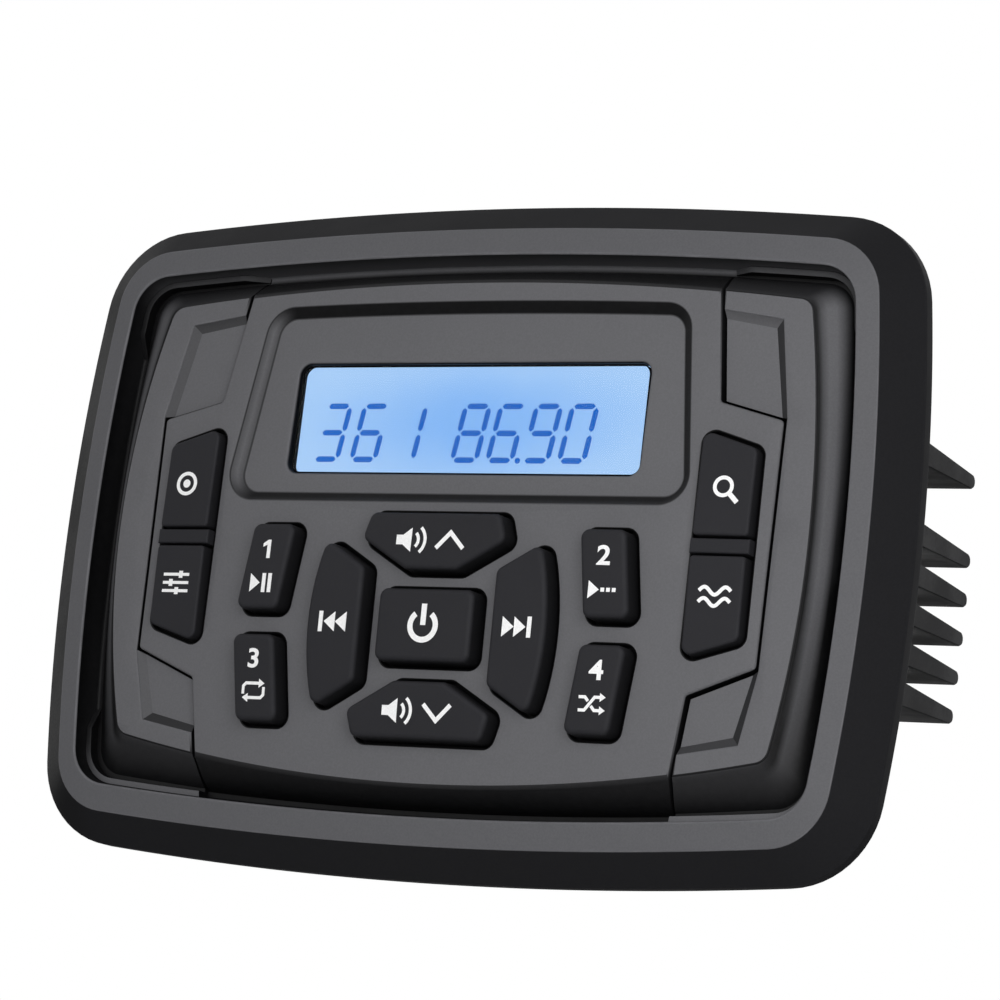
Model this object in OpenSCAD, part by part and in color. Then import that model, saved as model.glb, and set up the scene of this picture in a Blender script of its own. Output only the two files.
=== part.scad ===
// Panel-mounted marine stereo: bezel, front panel with display and thirteen rubber keys,
// two clip-on trims over the mounting screws, and a finned heat sink behind.
// The front faces -Y, +X is to the right and +Z is up.
// The origin is the middle of the mounting screws, on the plane that meets the dashboard.

/* [Bezel] */
// Overall width of the bezel
bezel_w = 159.4; // [156:0.2:168]
// Overall height of the bezel
bezel_h = 113.8; // [111:0.2:120]
// Corner radius of the outer edge
bezel_corner_r = 15.5; // [13:0.5:18]
// Bulge radius of the two long edges
long_bulge_r = 700; // [500:10:1200]
// Bulge radius of the two short edges
short_bulge_r = 350; // [250:10:800]
// Height of the upright outer edge
edge_d = 2; // [1.6:0.1:3.6]
// Width of the outer bevel at the left and right
bevel_side_w = 6; // [4.6:0.1:6.4]
// Width of the outer bevel at the top and bottom
bevel_top_w = 5.2; // [4.2:0.1:5.6]
// Depth of the outer bevel
bevel_d = 6.2; // [4.6:0.1:6.6]
// Width of the flat rim at the left and right
rim_side_w = 3.5; // [3:0.1:4.6]
// Width of the flat rim at the top and bottom
rim_top_w = 5; // [4:0.1:5.6]
// Rise of the rim towards its inner edge
rim_rise = 0.8; // [0.4:0.1:1.2]
// Corner radius of the rim's inner edge
groove_corner_r = 7; // [5:0.5:9]
// Depth of the groove below the rim's inner edge
groove_d = 5.8; // [5.4:0.1:6.2]
// Draft of the groove's outer wall
groove_draft = 0.4; // [0.2:0.1:0.6]

/* [Front island] */
// Width of the groove at the left and right
groove_side_w = 5.7; // [5:0.1:6.2]
// Width of the groove at the top and bottom
groove_top_w = 5.1; // [4.8:0.1:5.8]
// Height of the island above the rim's inner edge
island_proud = 1; // [0.5:0.1:1.6]
// Bulge radius of the island's long edges
island_long_r = 430; // [380:10:700]
// Bulge radius of the island's short edges
island_short_r = 220; // [180:10:400]
// Corner radius of the island
island_corner_r = 5; // [3.5:0.5:6.5]
// How far the foot of the island's wall stands out
island_foot = 2.2; // [1.4:0.1:2.6]
// Thickness of the panel's and trims' walls
shell_t = 2; // [1.6:0.1:2.2]
// Width of the seam between the panel and a trim
seam_gap = 0.5; // [0.3:0.1:0.8]
// Half distance of the seams at the top and bottom edges
seam_end_x = 44.2; // [43:0.1:45]
// Half distance of the seams at their necks
seam_neck_x = 46.4; // [45.6:0.1:47.4]
// Half distance of the seams beside the side keys
seam_wide_x = 58.8; // [58:0.1:59.4]
// Height of the upper neck
seam_upper_z = 21.6; // [20.8:0.1:23]
// Height of the lower neck
seam_lower_z = -25.8; // [-27:0.1:-25]
// Rise of a seam's slanted step
seam_step = 3.6; // [2.8:0.1:4]

/* [Trims] */
// Depth of the pry pockets in the trims
pocket_d = 1.5; // [1:0.1:1.8]
// Width of the bevel round a pry pocket
pocket_bevel = 1.3; // [0.8:0.1:1.6]
// Half distance of the pockets' outer corners
pocket_x = 55.4; // [54:0.1:56]
// Height of the upper pockets' outer corner
pocket_upper_z = 35.2; // [34:0.1:36]
// Height of the lower pockets' outer corner
pocket_lower_z = -33.2; // [-34:0.1:-32.5]
// Thickness of the trims' front wall
trim_t = 3; // [2.6:0.1:3.4]
// Thickness of a trim's clip foot
foot_t = 0.8; // [0.6:0.1:1.2]
// Width of the lip on a clip foot
lip_w = 1.3; // [1:0.1:1.6]
// Drop of the lip below the rim's inner edge
lip_drop = 3; // [2.4:0.1:3.4]
// Height above the middle where the clip feet start
foot_z = 31; // [29:0.5:33]

/* [Display] */
// Half width of the display recess at its top
recess_top_x = 39.4; // [38.6:0.1:40]
// Half width of the display recess at its bottom
recess_low_x = 43.6; // [42.6:0.1:44]
// Height of the recess's top edge
recess_top_z = 38.4; // [38:0.1:38.8]
// Height of the recess's bottom edge
recess_low_z = 4.6; // [4.4:0.1:5.4]
// Crown of the recess's top edge
recess_crown = 0.6; // [0.3:0.1:0.8]
// Corner radius of the recess
recess_r = 5; // [4:0.5:6]
// Depth of the recess
recess_d = 1.8; // [1.4:0.1:2]
// Width of the bevel round the recess
recess_bevel = 1.7; // [1.4:0.1:2]
// Width of the display window
window_w = 66; // [62:0.5:67]
// Height of the display window
window_h = 19; // [17:0.5:20]
// Height of the window's middle above the bezel's middle
window_z = 19.3; // [18.6:0.1:20]
// Corner radius of the window
window_r = 2; // [1.5:0.1:3]
// Thickness of the recess floor
recess_floor_t = 1.4; // [1.2:0.1:1.6]
// Set-back of the lens face below the recess floor
lens_sink = 0.6; // [0.4:0.1:0.9]
// Width of the lens's hidden flange
lens_flange = 1.5; // [1:0.1:1.6]
// Thickness of the lens's hidden flange
lens_flange_t = 1.2; // [1:0.1:1.3]
// Thickness of the display glass
glass_t = 1.1; // [0.9:0.1:1.3]
// Thickness of the backlight
backlight_t = 2.6; // [2.2:0.1:2.8]

/* [Keys] */
// Gap between a key and its opening
key_gap = 0.4; // [0.3:0.05:0.6]
// Height of the keys above the panel
key_proud = 3.4; // [2.6:0.1:3.8]
// Height of the side keys above the panel
side_proud = 1.7; // [1.5:0.1:2.6]
// How far the webs lie below the side keys' tops
web_drop = 0.35; // [0.2:0.05:0.6]
// Rounding of the keys' upper edges
key_round = 0.8; // [0.6:0.1:1.1]
// Travel of a key
key_travel = 1; // [0.8:0.05:1.1]
// Width of the flange that keeps a key behind the panel
key_flange = 0.7; // [0.5:0.1:0.8]
// Running clearance between moving pieces
run_gap = 0.3; // [0.25:0.01:0.35]
// Corner radius of the key openings
key_r = 2; // [1.6:0.1:2.4]
// Height of the key cluster's middle
cluster_z = -16.5; // [-16.8:0.1:-16.2]
// Width of the power key's opening
power_w = 18.7; // [18:0.1:19.4]
// Height of the power key's opening
power_h = 13; // [12:0.2:13.6]
// Half width of a volume key's inner edge
volume_in_x = 4.9; // [4:0.1:6]
// Half width of a volume key's outer edge
volume_out_x = 12.4; // [11.6:0.1:13]
// Half width across a volume key's points
volume_wide_x = 14; // [13.4:0.1:14.4]
// Distance of a volume key's inner edge from the cluster's middle
volume_in_z = 8.6; // [8.4:0.1:9]
// Distance of a volume key's points from the cluster's middle
volume_wide_z = 13.9; // [13.6:0.1:14.6]
// Distance of a volume key's outer edge from the cluster's middle
volume_out_z = 19.1; // [18.6:0.1:19.2]
// Distance of a track key's inner edge from the middle
track_in_x = 11.7; // [11.5:0.1:12.2]
// Half height of a track key's inner edge
track_in_z = 9.7; // [9.2:0.1:10]
// Distance of a track key's tips from the middle
track_tip_x = 20.3; // [19.8:0.1:20.6]
// Half height of a track key
track_tip_z = 14.8; // [14.4:0.1:15]
// Bulge of a track key's outer edge
track_bulge = 2.4; // [2:0.1:2.8]
// Width of a preset key's opening
preset_w = 9.2; // [8.8:0.1:9.4]
// Height of a preset key's opening
preset_h = 15.5; // [15:0.1:15.8]
// Distance of the preset keys' middles from the centre line
preset_x = 31.5; // [31.2:0.1:31.8]
// Height of the upper preset keys' middle
preset_upper_z = -7.3; // [-7.6:0.1:-7]
// Height of the lower preset keys' middle
preset_lower_z = -25.9; // [-26.2:0.1:-25.6]
// Lean of a preset key over its height
preset_lean = 2.1; // [1.4:0.1:2.6]
// Inner edge of the side keys
side_in_x = 45.2; // [44.9:0.1:45.4]
// Width of the panel's edge outside the side keys
side_edge = 3.5; // [3:0.1:3.8]
// Top of the side keys at their inner edge
side_top_z = 16.8; // [16.2:0.1:17.2]
// Bottom of the side keys at their inner edge
side_low_z = -20.6; // [-21:0.1:-20]
// Slant of the side keys' top and bottom edges
side_slant = 3.2; // [2.6:0.1:3.6]
// Height of the web's middle between two side keys
web_z = -2; // [-2.4:0.1:-1.6]
// Height of the web between two side keys
web_h = 2.2; // [1.8:0.1:2.6]

/* [Boards] */
// Thickness of the circuit boards
board_t = 1.6; // [1.4:0.1:1.8]
// Height of the contact domes
dome_t = 0.6; // [0.4:0.05:0.65]
// Radius of the contact domes
dome_r = 2.4; // [2:0.1:3]
// Assembly clearance between fixed pieces
fit_gap = 0.15; // [0.1:0.01:0.2]
// Distance of the main board behind the mounting plane
main_board_y = 6; // [5:0.5:7]
// Width of the main board
main_board_w = 112; // [108:1:114]
// Height of the main board
main_board_h = 40; // [38:0.5:41]
// Width of the stacking connector between the boards
stack_w = 30; // [24:1:36]
// Height of the stacking connector's body
stack_h = 5; // [4:0.5:6]
// Width of the amplifier chip
chip_w = 26; // [22:1:28]
// Height of the amplifier chip's face
chip_h = 13; // [11:0.5:14]
// Height of the amplifier chip above the main board
chip_t = 4.4; // [4:0.1:4.8]
// Width of the tuner module
tuner_w = 24; // [20:1:26]
// Height of the tuner module's face
tuner_h = 16; // [14:0.5:17]
// Height of the tuner module above the main board
tuner_t = 5.5; // [5:0.1:6]
// Radius of the filter capacitors
capacitor_r = 4.6; // [4:0.1:5]
// Length of the filter capacitors
capacitor_l = 6; // [5:0.1:6.4]
// Distance of the main board's screws from its edges
board_screw_in = 4.5; // [4:0.1:5]

/* [Rear housing] */
// Distance of the chassis's sides from the bezel's edge
chassis_side_in = 11.7; // [11:0.1:14]
// Height of the chassis
chassis_h = 53; // [51:0.5:55]
// Height of the chassis's middle
chassis_z = -0.5; // [-1:0.1:0]
// Corner radius of the chassis
chassis_r = 4; // [3:0.5:6]
// Distance of the chassis's rear wall behind the mounting plane
chassis_y = 16.5; // [16:0.5:18]
// Wall of the chassis
chassis_t = 2; // [1.6:0.1:2.4]
// Width of the land that carries the seal
seal_w = 9; // [8.5:0.1:10]
// Thickness of the housing seal
seal_t = 0.8; // [0.5:0.1:1.2]
// Thickness of the flange gasket
gasket_t = 1.2; // [0.8:0.1:1.6]
// Width of the flange gasket
gasket_w = 5; // [4:0.2:6]
// Distance of the flange gasket from the bezel's edge
gasket_in = 2; // [1.5:0.1:2.6]

/* [Heat sink] */
// Thickness of the heat sink's base
sink_t = 4; // [3:0.2:5]
// Height of the middle fin
fin_z = 1.8; // [1.5:0.1:2.2]
// Distance between fins
fin_pitch = 6.7; // [6.5:0.05:6.8]
// Length of the middle fin
fin_l = 29; // [24:0.5:34]
// Loss of fin length towards the outer fins
fin_crown = 0.15; // [0:0.01:0.3]
// Thickness of a fin at its root
fin_root = 4.4; // [4:0.1:5]
// Thickness of a fin at its tip
fin_tip = 1.8; // [1.4:0.1:2.4]
// Height of the flare at the foot of a fin
fin_flare = 1.4; // [1:0.1:2]
// Height of the screw bosses inside the chassis's rear wall
sink_boss_l = 3; // [2.5:0.1:3.5]
// Distance of the heat sink's screws from its sides
sink_screw_in = 6; // [5:0.5:8]
// Distance of the cable glands from the centre line
gland_x = 26; // [22:0.5:32]
// Radius of the clearing in the fins round a gland
gland_clear_r = 9.6; // [9.2:0.1:10]
// Bore radius of the loom gland
loom_r = 4.5; // [3.5:0.1:5]
// Bore radius of the aerial gland
aerial_r = 2.6; // [2.2:0.1:3.2]
// Wall of a gland
gland_t = 1.6; // [1.4:0.1:1.8]

/* [Fasteners] */
// Distance between mounting screws across
mount_w = 110; // [108:0.5:112]
// Distance between mounting screws up and down
mount_h = 67; // [66:0.5:68]
// Radius of the mounting screw holes
mount_r = 2.15; // [1.8:0.05:2.4]
// Shank radius of the machine screws
screw_r = 1.5; // [1.3:0.05:1.6]
// Head radius of the machine screws
screw_head_r = 2.8; // [2.6:0.1:3]
// Head height of the machine screws
screw_head_t = 1.8; // [1.6:0.1:2]
// Slack of a screw in its clearance hole
screw_slack = 0.2; // [0.1:0.05:0.3]
// Radial clearance of a screw in its tapped hole
thread_gap = 0.05; // [0.03:0.01:0.1]
// Length of the machine screws
screw_l = 8; // [7.4:0.1:8.4]

/* [Hidden] */
$fn = 48;
big = 400;
EPS = 0.01;

rim_hw = bezel_w / 2 - bevel_side_w - rim_side_w;
rim_hh = bezel_h / 2 - bevel_top_w - rim_top_w;
island_hw = rim_hw - groove_side_w;
island_hh = rim_hh - groove_top_w;

// The front's layout is drawn for these half sizes of the island and spreads with them.
drawn_hw = 64.5;
drawn_hh = 41.6;
sx = island_hw / drawn_hw;
sz = island_hh / drawn_hh;
function spread(p) = [for (v = p) [v.x * sx, v.y * sz]];

chassis_w = bezel_w - 2 * chassis_side_in;
side_out_x = seam_wide_x - side_edge;

// Heights are counted from the mounting plane towards the front.
bevel_at = edge_d;
rim_out_at = bevel_at + bevel_d;
rim_in_at = rim_out_at + rim_rise;
floor_at = rim_in_at - groove_d;
panel_at = rim_in_at + island_proud;
panel_back = panel_at - shell_t;
recess_at = panel_at - recess_d;
recess_back = recess_at - recess_floor_t;
lens_at = recess_at - lens_sink;
lens_back = recess_back - lens_flange_t;
glass_back = lens_back - glass_t;
backlight_back = glass_back - backlight_t;
board_at = floor_at + board_t;
dome_at = board_at + dome_t;
flange_back = dome_at + run_gap + key_travel;
flange_at = panel_back - run_gap;
key_at = panel_at + key_proud;
side_key_at = panel_at + side_proud;
web_at = side_key_at - web_drop;
chassis_at = -seal_t;
chassis_back = -chassis_y;
main_at = -main_board_y;
main_back = main_at - board_t;
sink_back = chassis_back - sink_t;

rim_edge = 0.3;
wall_steps = 4;
corner_steps = 6;
long_steps = 6;
round_steps = 3;

// Outlines, counter-clockwise as seen from the front

function mirrored(p) = [for (i = [len(p) - 1:-1:0]) [-p[i].x, p[i].y]];
function flipped(p, z) = [for (i = [len(p) - 1:-1:0]) [p[i].x, 2 * z - p[i].y]];
function inward(a, b) = [a.y - b.y, b.x - a.x] / norm(b - a);

// A polygon with every edge moved inwards by d
function inset(p, d) = [
    for (i = [0:len(p) - 1])
        let (n = len(p),
             before = inward(p[(i + n - 1) % n], p[i]),
             after = inward(p[i], p[(i + 1) % n]))
        p[i] + d * (before + after) / (1 + before * after)
];

// A convex polygon with its corners rounded to radius r
function rounded(p, r) = [
    for (i = [0:len(p) - 1])
        let (n = len(p),
             before = inward(p[(i + n - 1) % n], p[i]),
             after = inward(p[i], p[(i + 1) % n]),
             middle = p[i] + r * (before + after) / (1 + before * after),
             start = atan2(-before.y, -before.x),
             turn = acos(min(1, before * after)))
        for (k = [0:round_steps])
            middle + r * [cos(start + turn * k / round_steps), sin(start + turn * k / round_steps)]
];

// A quarter of a rectangle whose sides bulge as arcs that blend into round corners
function bulged_quarter(hw, hh, long_r, short_r, corner_r) =
    let (top_c = [0, hh - long_r],
         side_c = [hw - short_r, 0],
         span = side_c - top_c,
         gap = norm(span),
         u = span / gap,
         p = long_r - corner_r,
         q = short_r - corner_r,
         along = (p * p - q * q + gap * gap) / (2 * gap),
         across = sqrt(p * p - along * along),
         corner = top_c + along * u + across * [u.y, -u.x],
         side_a = atan2(corner.y - side_c.y, corner.x - side_c.x),
         top_a = atan2(corner.y - top_c.y, corner.x - top_c.x))
    concat(
        [for (i = [0:wall_steps - 1]) let (a = side_a * i / wall_steps)
            side_c + short_r * [cos(a), sin(a)]],
        [for (i = [0:corner_steps]) let (a = side_a + (top_a - side_a) * i / corner_steps)
            corner + corner_r * [cos(a), sin(a)]],
        [for (i = [1:long_steps]) let (a = top_a + (90 - top_a) * i / long_steps)
            top_c + long_r * [cos(a), sin(a)]]);

function bulged(hw, hh, long_r, short_r, corner_r) =
    let (q = bulged_quarter(hw, hh, long_r, short_r, corner_r), m = len(q) - 1)
    concat([for (i = [0:m - 1]) q[i]],
           [for (i = [m:-1:1]) [-q[i].x, q[i].y]],
           [for (i = [0:m - 1]) -q[i]],
           [for (i = [m:-1:1]) [q[i].x, -q[i].y]]);

function bezel_outline(d) =
    bulged(bezel_w / 2 - d, bezel_h / 2 - d, long_bulge_r - d, short_bulge_r - d, bezel_corner_r - d);

rim_outer_outline =
    bulged(rim_hw + rim_side_w, rim_hh + rim_top_w, long_bulge_r - bevel_top_w,
           short_bulge_r - bevel_side_w, bezel_corner_r - bevel_top_w);

function rim_outline(d) =
    bulged(rim_hw - d, rim_hh - d, long_bulge_r - d, short_bulge_r - d, groove_corner_r - d);

function island_outline(d) =
    bulged(island_hw - d, island_hh - d, island_long_r - d, island_short_r - d, island_corner_r - d);

// The panel's side edges: narrow at the top and bottom, wide beside the side keys
upper_lean = (seam_neck_x - seam_end_x) / (drawn_hh - seam_upper_z);
lower_lean = (seam_neck_x - seam_end_x) / (drawn_hh + seam_lower_z);
reach_z = drawn_hh + 15;
seam_right = [
    [seam_neck_x - lower_lean * (reach_z + seam_lower_z), -reach_z],
    [seam_neck_x, seam_lower_z],
    [seam_wide_x, seam_lower_z + seam_step],
    [seam_wide_x, seam_upper_z - seam_step],
    [seam_neck_x, seam_upper_z],
    [seam_neck_x - upper_lean * (reach_z - seam_upper_z), reach_z]
];
seam_outline = spread(concat(seam_right, mirrored(seam_right)));

// Where a seam crosses a given height above its upper neck or below its lower neck
function seam_x(z) = z > 0 ? seam_neck_x - upper_lean * (z - seam_upper_z)
                           : seam_neck_x - lower_lean * (seam_lower_z - z);

pocket_rise = 1.8;
pocket_upper = spread([
    [seam_neck_x, seam_upper_z],
    [seam_wide_x, seam_upper_z - seam_step],
    [pocket_x, pocket_upper_z],
    [seam_x(pocket_upper_z + pocket_rise), pocket_upper_z + pocket_rise]
]);
pocket_lower = spread([
    [seam_x(pocket_lower_z - pocket_rise), pocket_lower_z - pocket_rise],
    [pocket_x, pocket_lower_z],
    [seam_wide_x, seam_lower_z + seam_step],
    [seam_neck_x, seam_lower_z]
]);

recess_outline = spread([
    [-recess_low_x, recess_low_z],
    [recess_low_x, recess_low_z],
    [recess_top_x, recess_top_z],
    [0, recess_top_z + recess_crown],
    [-recess_top_x, recess_top_z]
]);

function rectangle(w, h, x, z) = [
    [x - w / 2, z - h / 2], [x + w / 2, z - h / 2], [x + w / 2, z + h / 2], [x - w / 2, z + h / 2]
];

window_o = spread(rectangle(window_w, window_h, 0, window_z));

// Key openings
power_o = rectangle(power_w, power_h, 0, cluster_z);
volume_up_o = [
    [-volume_in_x, cluster_z + volume_in_z], [volume_in_x, cluster_z + volume_in_z],
    [volume_wide_x, cluster_z + volume_wide_z], [volume_out_x, cluster_z + volume_out_z],
    [-volume_out_x, cluster_z + volume_out_z], [-volume_wide_x, cluster_z + volume_wide_z]
];
track_r = (track_tip_z * track_tip_z + track_bulge * track_bulge) / (2 * track_bulge);
track_a = asin(track_tip_z / track_r);
track_arc_steps = 4;
next_o = concat(
    [[track_in_x, cluster_z + track_in_z], [track_in_x, cluster_z - track_in_z]],
    [for (i = [0:track_arc_steps]) let (a = track_a * (2 * i / track_arc_steps - 1))
        [track_tip_x + track_bulge - track_r + track_r * cos(a), cluster_z + track_r * sin(a)]]);
function preset(z, lean) = [
    for (c = [[-1, -1], [1, -1], [1, 1], [-1, 1]])
        [preset_x + c.x * preset_w / 2 + c.y * lean / 2, z + c.y * preset_h / 2]
];
side_pair_o = [
    [side_in_x, side_low_z], [side_out_x, side_low_z + side_slant],
    [side_out_x, side_top_z - side_slant], [side_in_x, side_top_z]
];
side_upper_o = [
    [side_in_x, web_z + web_h / 2], [side_out_x, web_z + web_h / 2],
    [side_out_x, side_top_z - side_slant], [side_in_x, side_top_z]
];
side_lower_o = [
    [side_in_x, side_low_z], [side_out_x, side_low_z + side_slant],
    [side_out_x, web_z - web_h / 2], [side_in_x, web_z - web_h / 2]
];

// Each key's name, its opening, and 1 or -1 where a web is below or above it
KEYS = [
    ["key_power", spread(power_o), 0],
    ["key_volume_up", spread(volume_up_o), 0],
    ["key_volume_down", spread(flipped(volume_up_o, cluster_z)), 0],
    ["key_previous", spread(mirrored(next_o)), 0],
    ["key_next", spread(next_o), 0],
    ["key_preset_1", spread(mirrored(preset(preset_upper_z, -preset_lean))), 0],
    ["key_preset_2", spread(preset(preset_upper_z, -preset_lean)), 0],
    ["key_preset_3", spread(mirrored(preset(preset_lower_z, preset_lean))), 0],
    ["key_preset_4", spread(preset(preset_lower_z, preset_lean)), 0],
    ["key_left_upper", spread(mirrored(side_upper_o)), 1],
    ["key_left_lower", spread(mirrored(side_lower_o)), -1],
    ["key_right_upper", spread(side_upper_o), 1],
    ["key_right_lower", spread(side_lower_o), -1]
];
OPENINGS = concat([for (k = KEYS) if (k[2] == 0) k[1]],
                  [spread(side_pair_o), spread(mirrored(side_pair_o))]);
web_top = (web_z + web_h / 2) * sz;
web_low = (web_z - web_h / 2) * sz;

function middle(p) = [for (k = [0:1]) (max([for (v = p) v[k]]) + min([for (v = p) v[k]])) / 2];

// Places of screws and fins
panel_screw_l = recess_back;
mount_points = spread([for (x = [-1, 1], z = [-1, 1]) [x * mount_w / 2, z * mount_h / 2]]);
panel_boss_r = screw_r + 1;
upper_boss_x = recess_top_x - recess_bevel - panel_boss_r + recess_bevel / 2;
upper_boss_z = recess_top_z - recess_bevel - panel_boss_r;
lower_boss_x = (volume_wide_x + preset_x - preset_w / 2 - preset_lean / 2) / 2;
lower_boss_z = cluster_z - volume_out_z + run_gap;
panel_points = spread(concat([for (x = [-1, 1]) [x * upper_boss_x, upper_boss_z]],
                             [for (x = [-1, 1]) [x * lower_boss_x, lower_boss_z]]));
chassis_screw_in = seal_w - screw_head_r - screw_slack;
chassis_points = [for (x = [-1, 1], z = [-1, 1])
    [x * (chassis_w / 2 - chassis_screw_in), chassis_z + z * (chassis_h / 2 - chassis_screw_in)]];
main_points = [for (x = [-1, 1], z = [-1, 1])
    [x * (main_board_w / 2 - board_screw_in), chassis_z + z * (main_board_h / 2 - board_screw_in)]];
FINS = [-3, -2, -1, 0, 1, 3];
bare_fin = 2;
land_z = fin_z + bare_fin * fin_pitch;
sink_low_z = chassis_z - chassis_h / 2 + screw_head_r + 0.4;
sink_points = concat([for (x = [-1, 1]) [x * (chassis_w / 2 - sink_screw_in), land_z]],
                     [for (x = [-1, 1]) [x * (chassis_w / 2 - sink_screw_in), sink_low_z]]);

// Turns the face-up working frame to the part's frame: height becomes -Y
module stand() rotate([90, 0, 0]) children();

// A solid through a stack of outlines with equal point counts, each given as [height, outline]
module loft(rings) {
    n = len(rings[0][1]);
    m = len(rings) - 1;
    points = [for (ring = rings, p = ring[1]) [p.x, p.y, ring[0]]];
    sides = [
        for (k = [0:m - 1], i = [0:n - 1])
            let (j = (i + 1) % n, a = k * n + i, b = k * n + j, c = a + n, d = b + n)
            each [[a, c, d], [a, d, b]]
    ];
    polyhedron(points, concat([[for (i = [0:n - 1]) i]], sides, [[for (i = [n - 1:-1:0]) m * n + i]]));
}

module prism(outline, low, high) translate([0, 0, low]) linear_extrude(high - low) polygon(outline);

module bored(points, r, low, high)
    for (p = points) translate([p.x, p.y, low]) cylinder(r = r, h = high - low);

// A countersunk screw, or with slack its hole, whose head is flush at height 0 and whose tip is below
module countersunk(slack, length) {
    translate([0, 0, -length]) cylinder(r = screw_r + slack, h = length);
    translate([0, 0, -screw_head_t])
        cylinder(r1 = screw_r + slack, r2 = screw_head_r + slack, h = screw_head_t + (slack > 0 ? EPS : 0));
}

// A pan-head screw with its head resting on height 0
module pan_screw(length) {
    translate([0, 0, -length]) cylinder(r = screw_r, h = length);
    difference() {
        cylinder(r1 = screw_head_r, r2 = screw_head_r * 0.8, h = screw_head_t);
        for (a = [0, 90])
            rotate(a) translate([-screw_head_r * 0.5, -0.35, screw_head_t * 0.45])
                cube([screw_head_r, 0.7, screw_head_t]);
    }
}

// Bezel

display_pocket = inset(window_o, -lens_flange - fit_gap);
floor_opening = rectangle(chassis_w - 2 * seal_w, chassis_h - 2 * seal_w, 0, chassis_z);

module bezel() color("#242528") stand() difference() {
    loft([[0, bezel_outline(0)], [bevel_at, bezel_outline(0)], [rim_out_at, rim_outer_outline],
          [rim_in_at, rim_outline(0)]]);
    loft([[floor_at, rim_outline(rim_edge + groove_draft)], [rim_in_at, rim_outline(rim_edge)],
          [rim_in_at + 1, rim_outline(rim_edge)]]);
    prism(floor_opening, -1, floor_at + 1);
    prism(display_pocket, backlight_back - fit_gap, floor_at + 1);
    bored(mount_points, mount_r, -1, floor_at + 1);
    for (p = panel_points) translate(p) mirror([0, 0, 1]) countersunk(screw_slack, floor_at + 1);
    for (p = chassis_points) translate([p.x, p.y, floor_at]) countersunk(screw_slack, floor_at + 1);
    difference() {
        prism(bezel_outline(gasket_in), -1, gasket_t);
        prism(bezel_outline(gasket_in + gasket_w), -2, gasket_t + 1);
    }
}

module flange_gasket() color("#101011") stand() difference() {
    prism(bezel_outline(gasket_in + fit_gap), 0, gasket_t);
    prism(bezel_outline(gasket_in + gasket_w - fit_gap), -1, gasket_t + 1);
}

// Front panel and trims

module island() loft([
    [floor_at, island_outline(-island_foot)], [(floor_at + panel_at) / 2, island_outline(-island_foot * 0.75)],
    [panel_at - 0.5, island_outline(-0.35)], [panel_at, island_outline(0)]
]);

// The space behind the panel, with every wall moved inwards by d
module panel_space(d, low, high) intersection() {
    prism(island_outline(shell_t + d), low, high);
    prism(inset(seam_outline, shell_t + seam_gap / 2 + d), low, high);
}

module front_panel() color("#5b5b5e") stand() difference() {
    union() {
        difference() {
            intersection() {
                island();
                prism(inset(seam_outline, seam_gap / 2), 0, panel_at + 1);
            }
            panel_space(0, 0, panel_back);
        }
        prism(rounded(inset(recess_outline, recess_bevel / 3), recess_r - recess_bevel / 3),
              recess_back, panel_back + EPS);
        for (p = panel_points)
            bored([p], panel_boss_r, board_at, p.y > 0 ? recess_back + EPS : panel_back + EPS);
    }
    loft([[recess_at, rounded(inset(recess_outline, recess_bevel), recess_r - recess_bevel)],
          [panel_at, rounded(recess_outline, recess_r)],
          [panel_at + recess_d, rounded(inset(recess_outline, -recess_bevel), recess_r + recess_bevel)]]);
    prism(rounded(window_o, window_r), 0, panel_at);
    for (o = OPENINGS) prism(rounded(o, key_r), panel_back - 1, panel_at + 1);
    bored(panel_points, screw_r + thread_gap, 0, panel_screw_l + 0.2);
}

// A pry pocket whose bevels lie on the two edges away from the seam
module pry_pocket(outline, floor_outline) loft([
    [panel_at - pocket_d, floor_outline], [panel_at, outline], [panel_at + 1, outline]
]);

function shifted(p, moves) = [for (i = [0:len(p) - 1]) p[i] + moves[i]];

module right_trim_solid() difference() {
    union() {
        intersection() {
            island();
            translate([0, -big / 2, 0]) cube([big / 2, big, big]);
        }
        trim_feet();
    }
    prism(inset(seam_outline, -seam_gap / 2), -1, panel_at + 1);
    difference() {
        prism(island_outline(shell_t), -1, panel_at - trim_t);
        prism(inset(seam_outline, -seam_gap / 2 - shell_t), -2, panel_at);
    }
    pry_pocket(pocket_upper, shifted(pocket_upper,
        [[0, 0], [-pocket_bevel, 0], [-pocket_bevel, -pocket_bevel], [0, -pocket_bevel]]));
    pry_pocket(pocket_lower, shifted(pocket_lower,
        [[0, pocket_bevel], [-pocket_bevel, pocket_bevel], [-pocket_bevel, 0], [0, 0]]));
}

// Clip feet along the groove's floor at a trim's two corners, each with a lip beside the rim
module trim_feet() {
    lip_d = rim_edge + groove_draft + fit_gap;
    intersection() {
        difference() {
            prism(rim_outline(lip_d), floor_at, rim_in_at - lip_drop);
            difference() {
                prism(rim_outline(lip_d + lip_w), floor_at + foot_t, rim_in_at + 1);
                prism(island_outline(shell_t), 0, panel_at);
            }
            prism(island_outline(shell_t / 2), 0, panel_at);
        }
        for (z = [foot_z, -foot_z - big])
            translate([0, z, 0]) cube(big);
    }
}

module right_trim() color("#5f5f62") stand() right_trim_solid();
module left_trim() color("#5f5f62") stand() mirror([1, 0, 0]) right_trim_solid();

// Display

module display_lens() color("#b9d4ff", 0.5) stand() {
    prism(rounded(inset(window_o, fit_gap), window_r - fit_gap), lens_back, lens_at);
    prism(rounded(inset(window_o, -lens_flange), window_r), lens_back, recess_back);
}

module display_glass() color("#9cc6ff") stand()
    prism(inset(window_o, -lens_flange), glass_back, lens_back);

module display_backlight() color("#e8f0ff") stand()
    prism(inset(window_o, -lens_flange), backlight_back, glass_back);

// Keys

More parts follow.
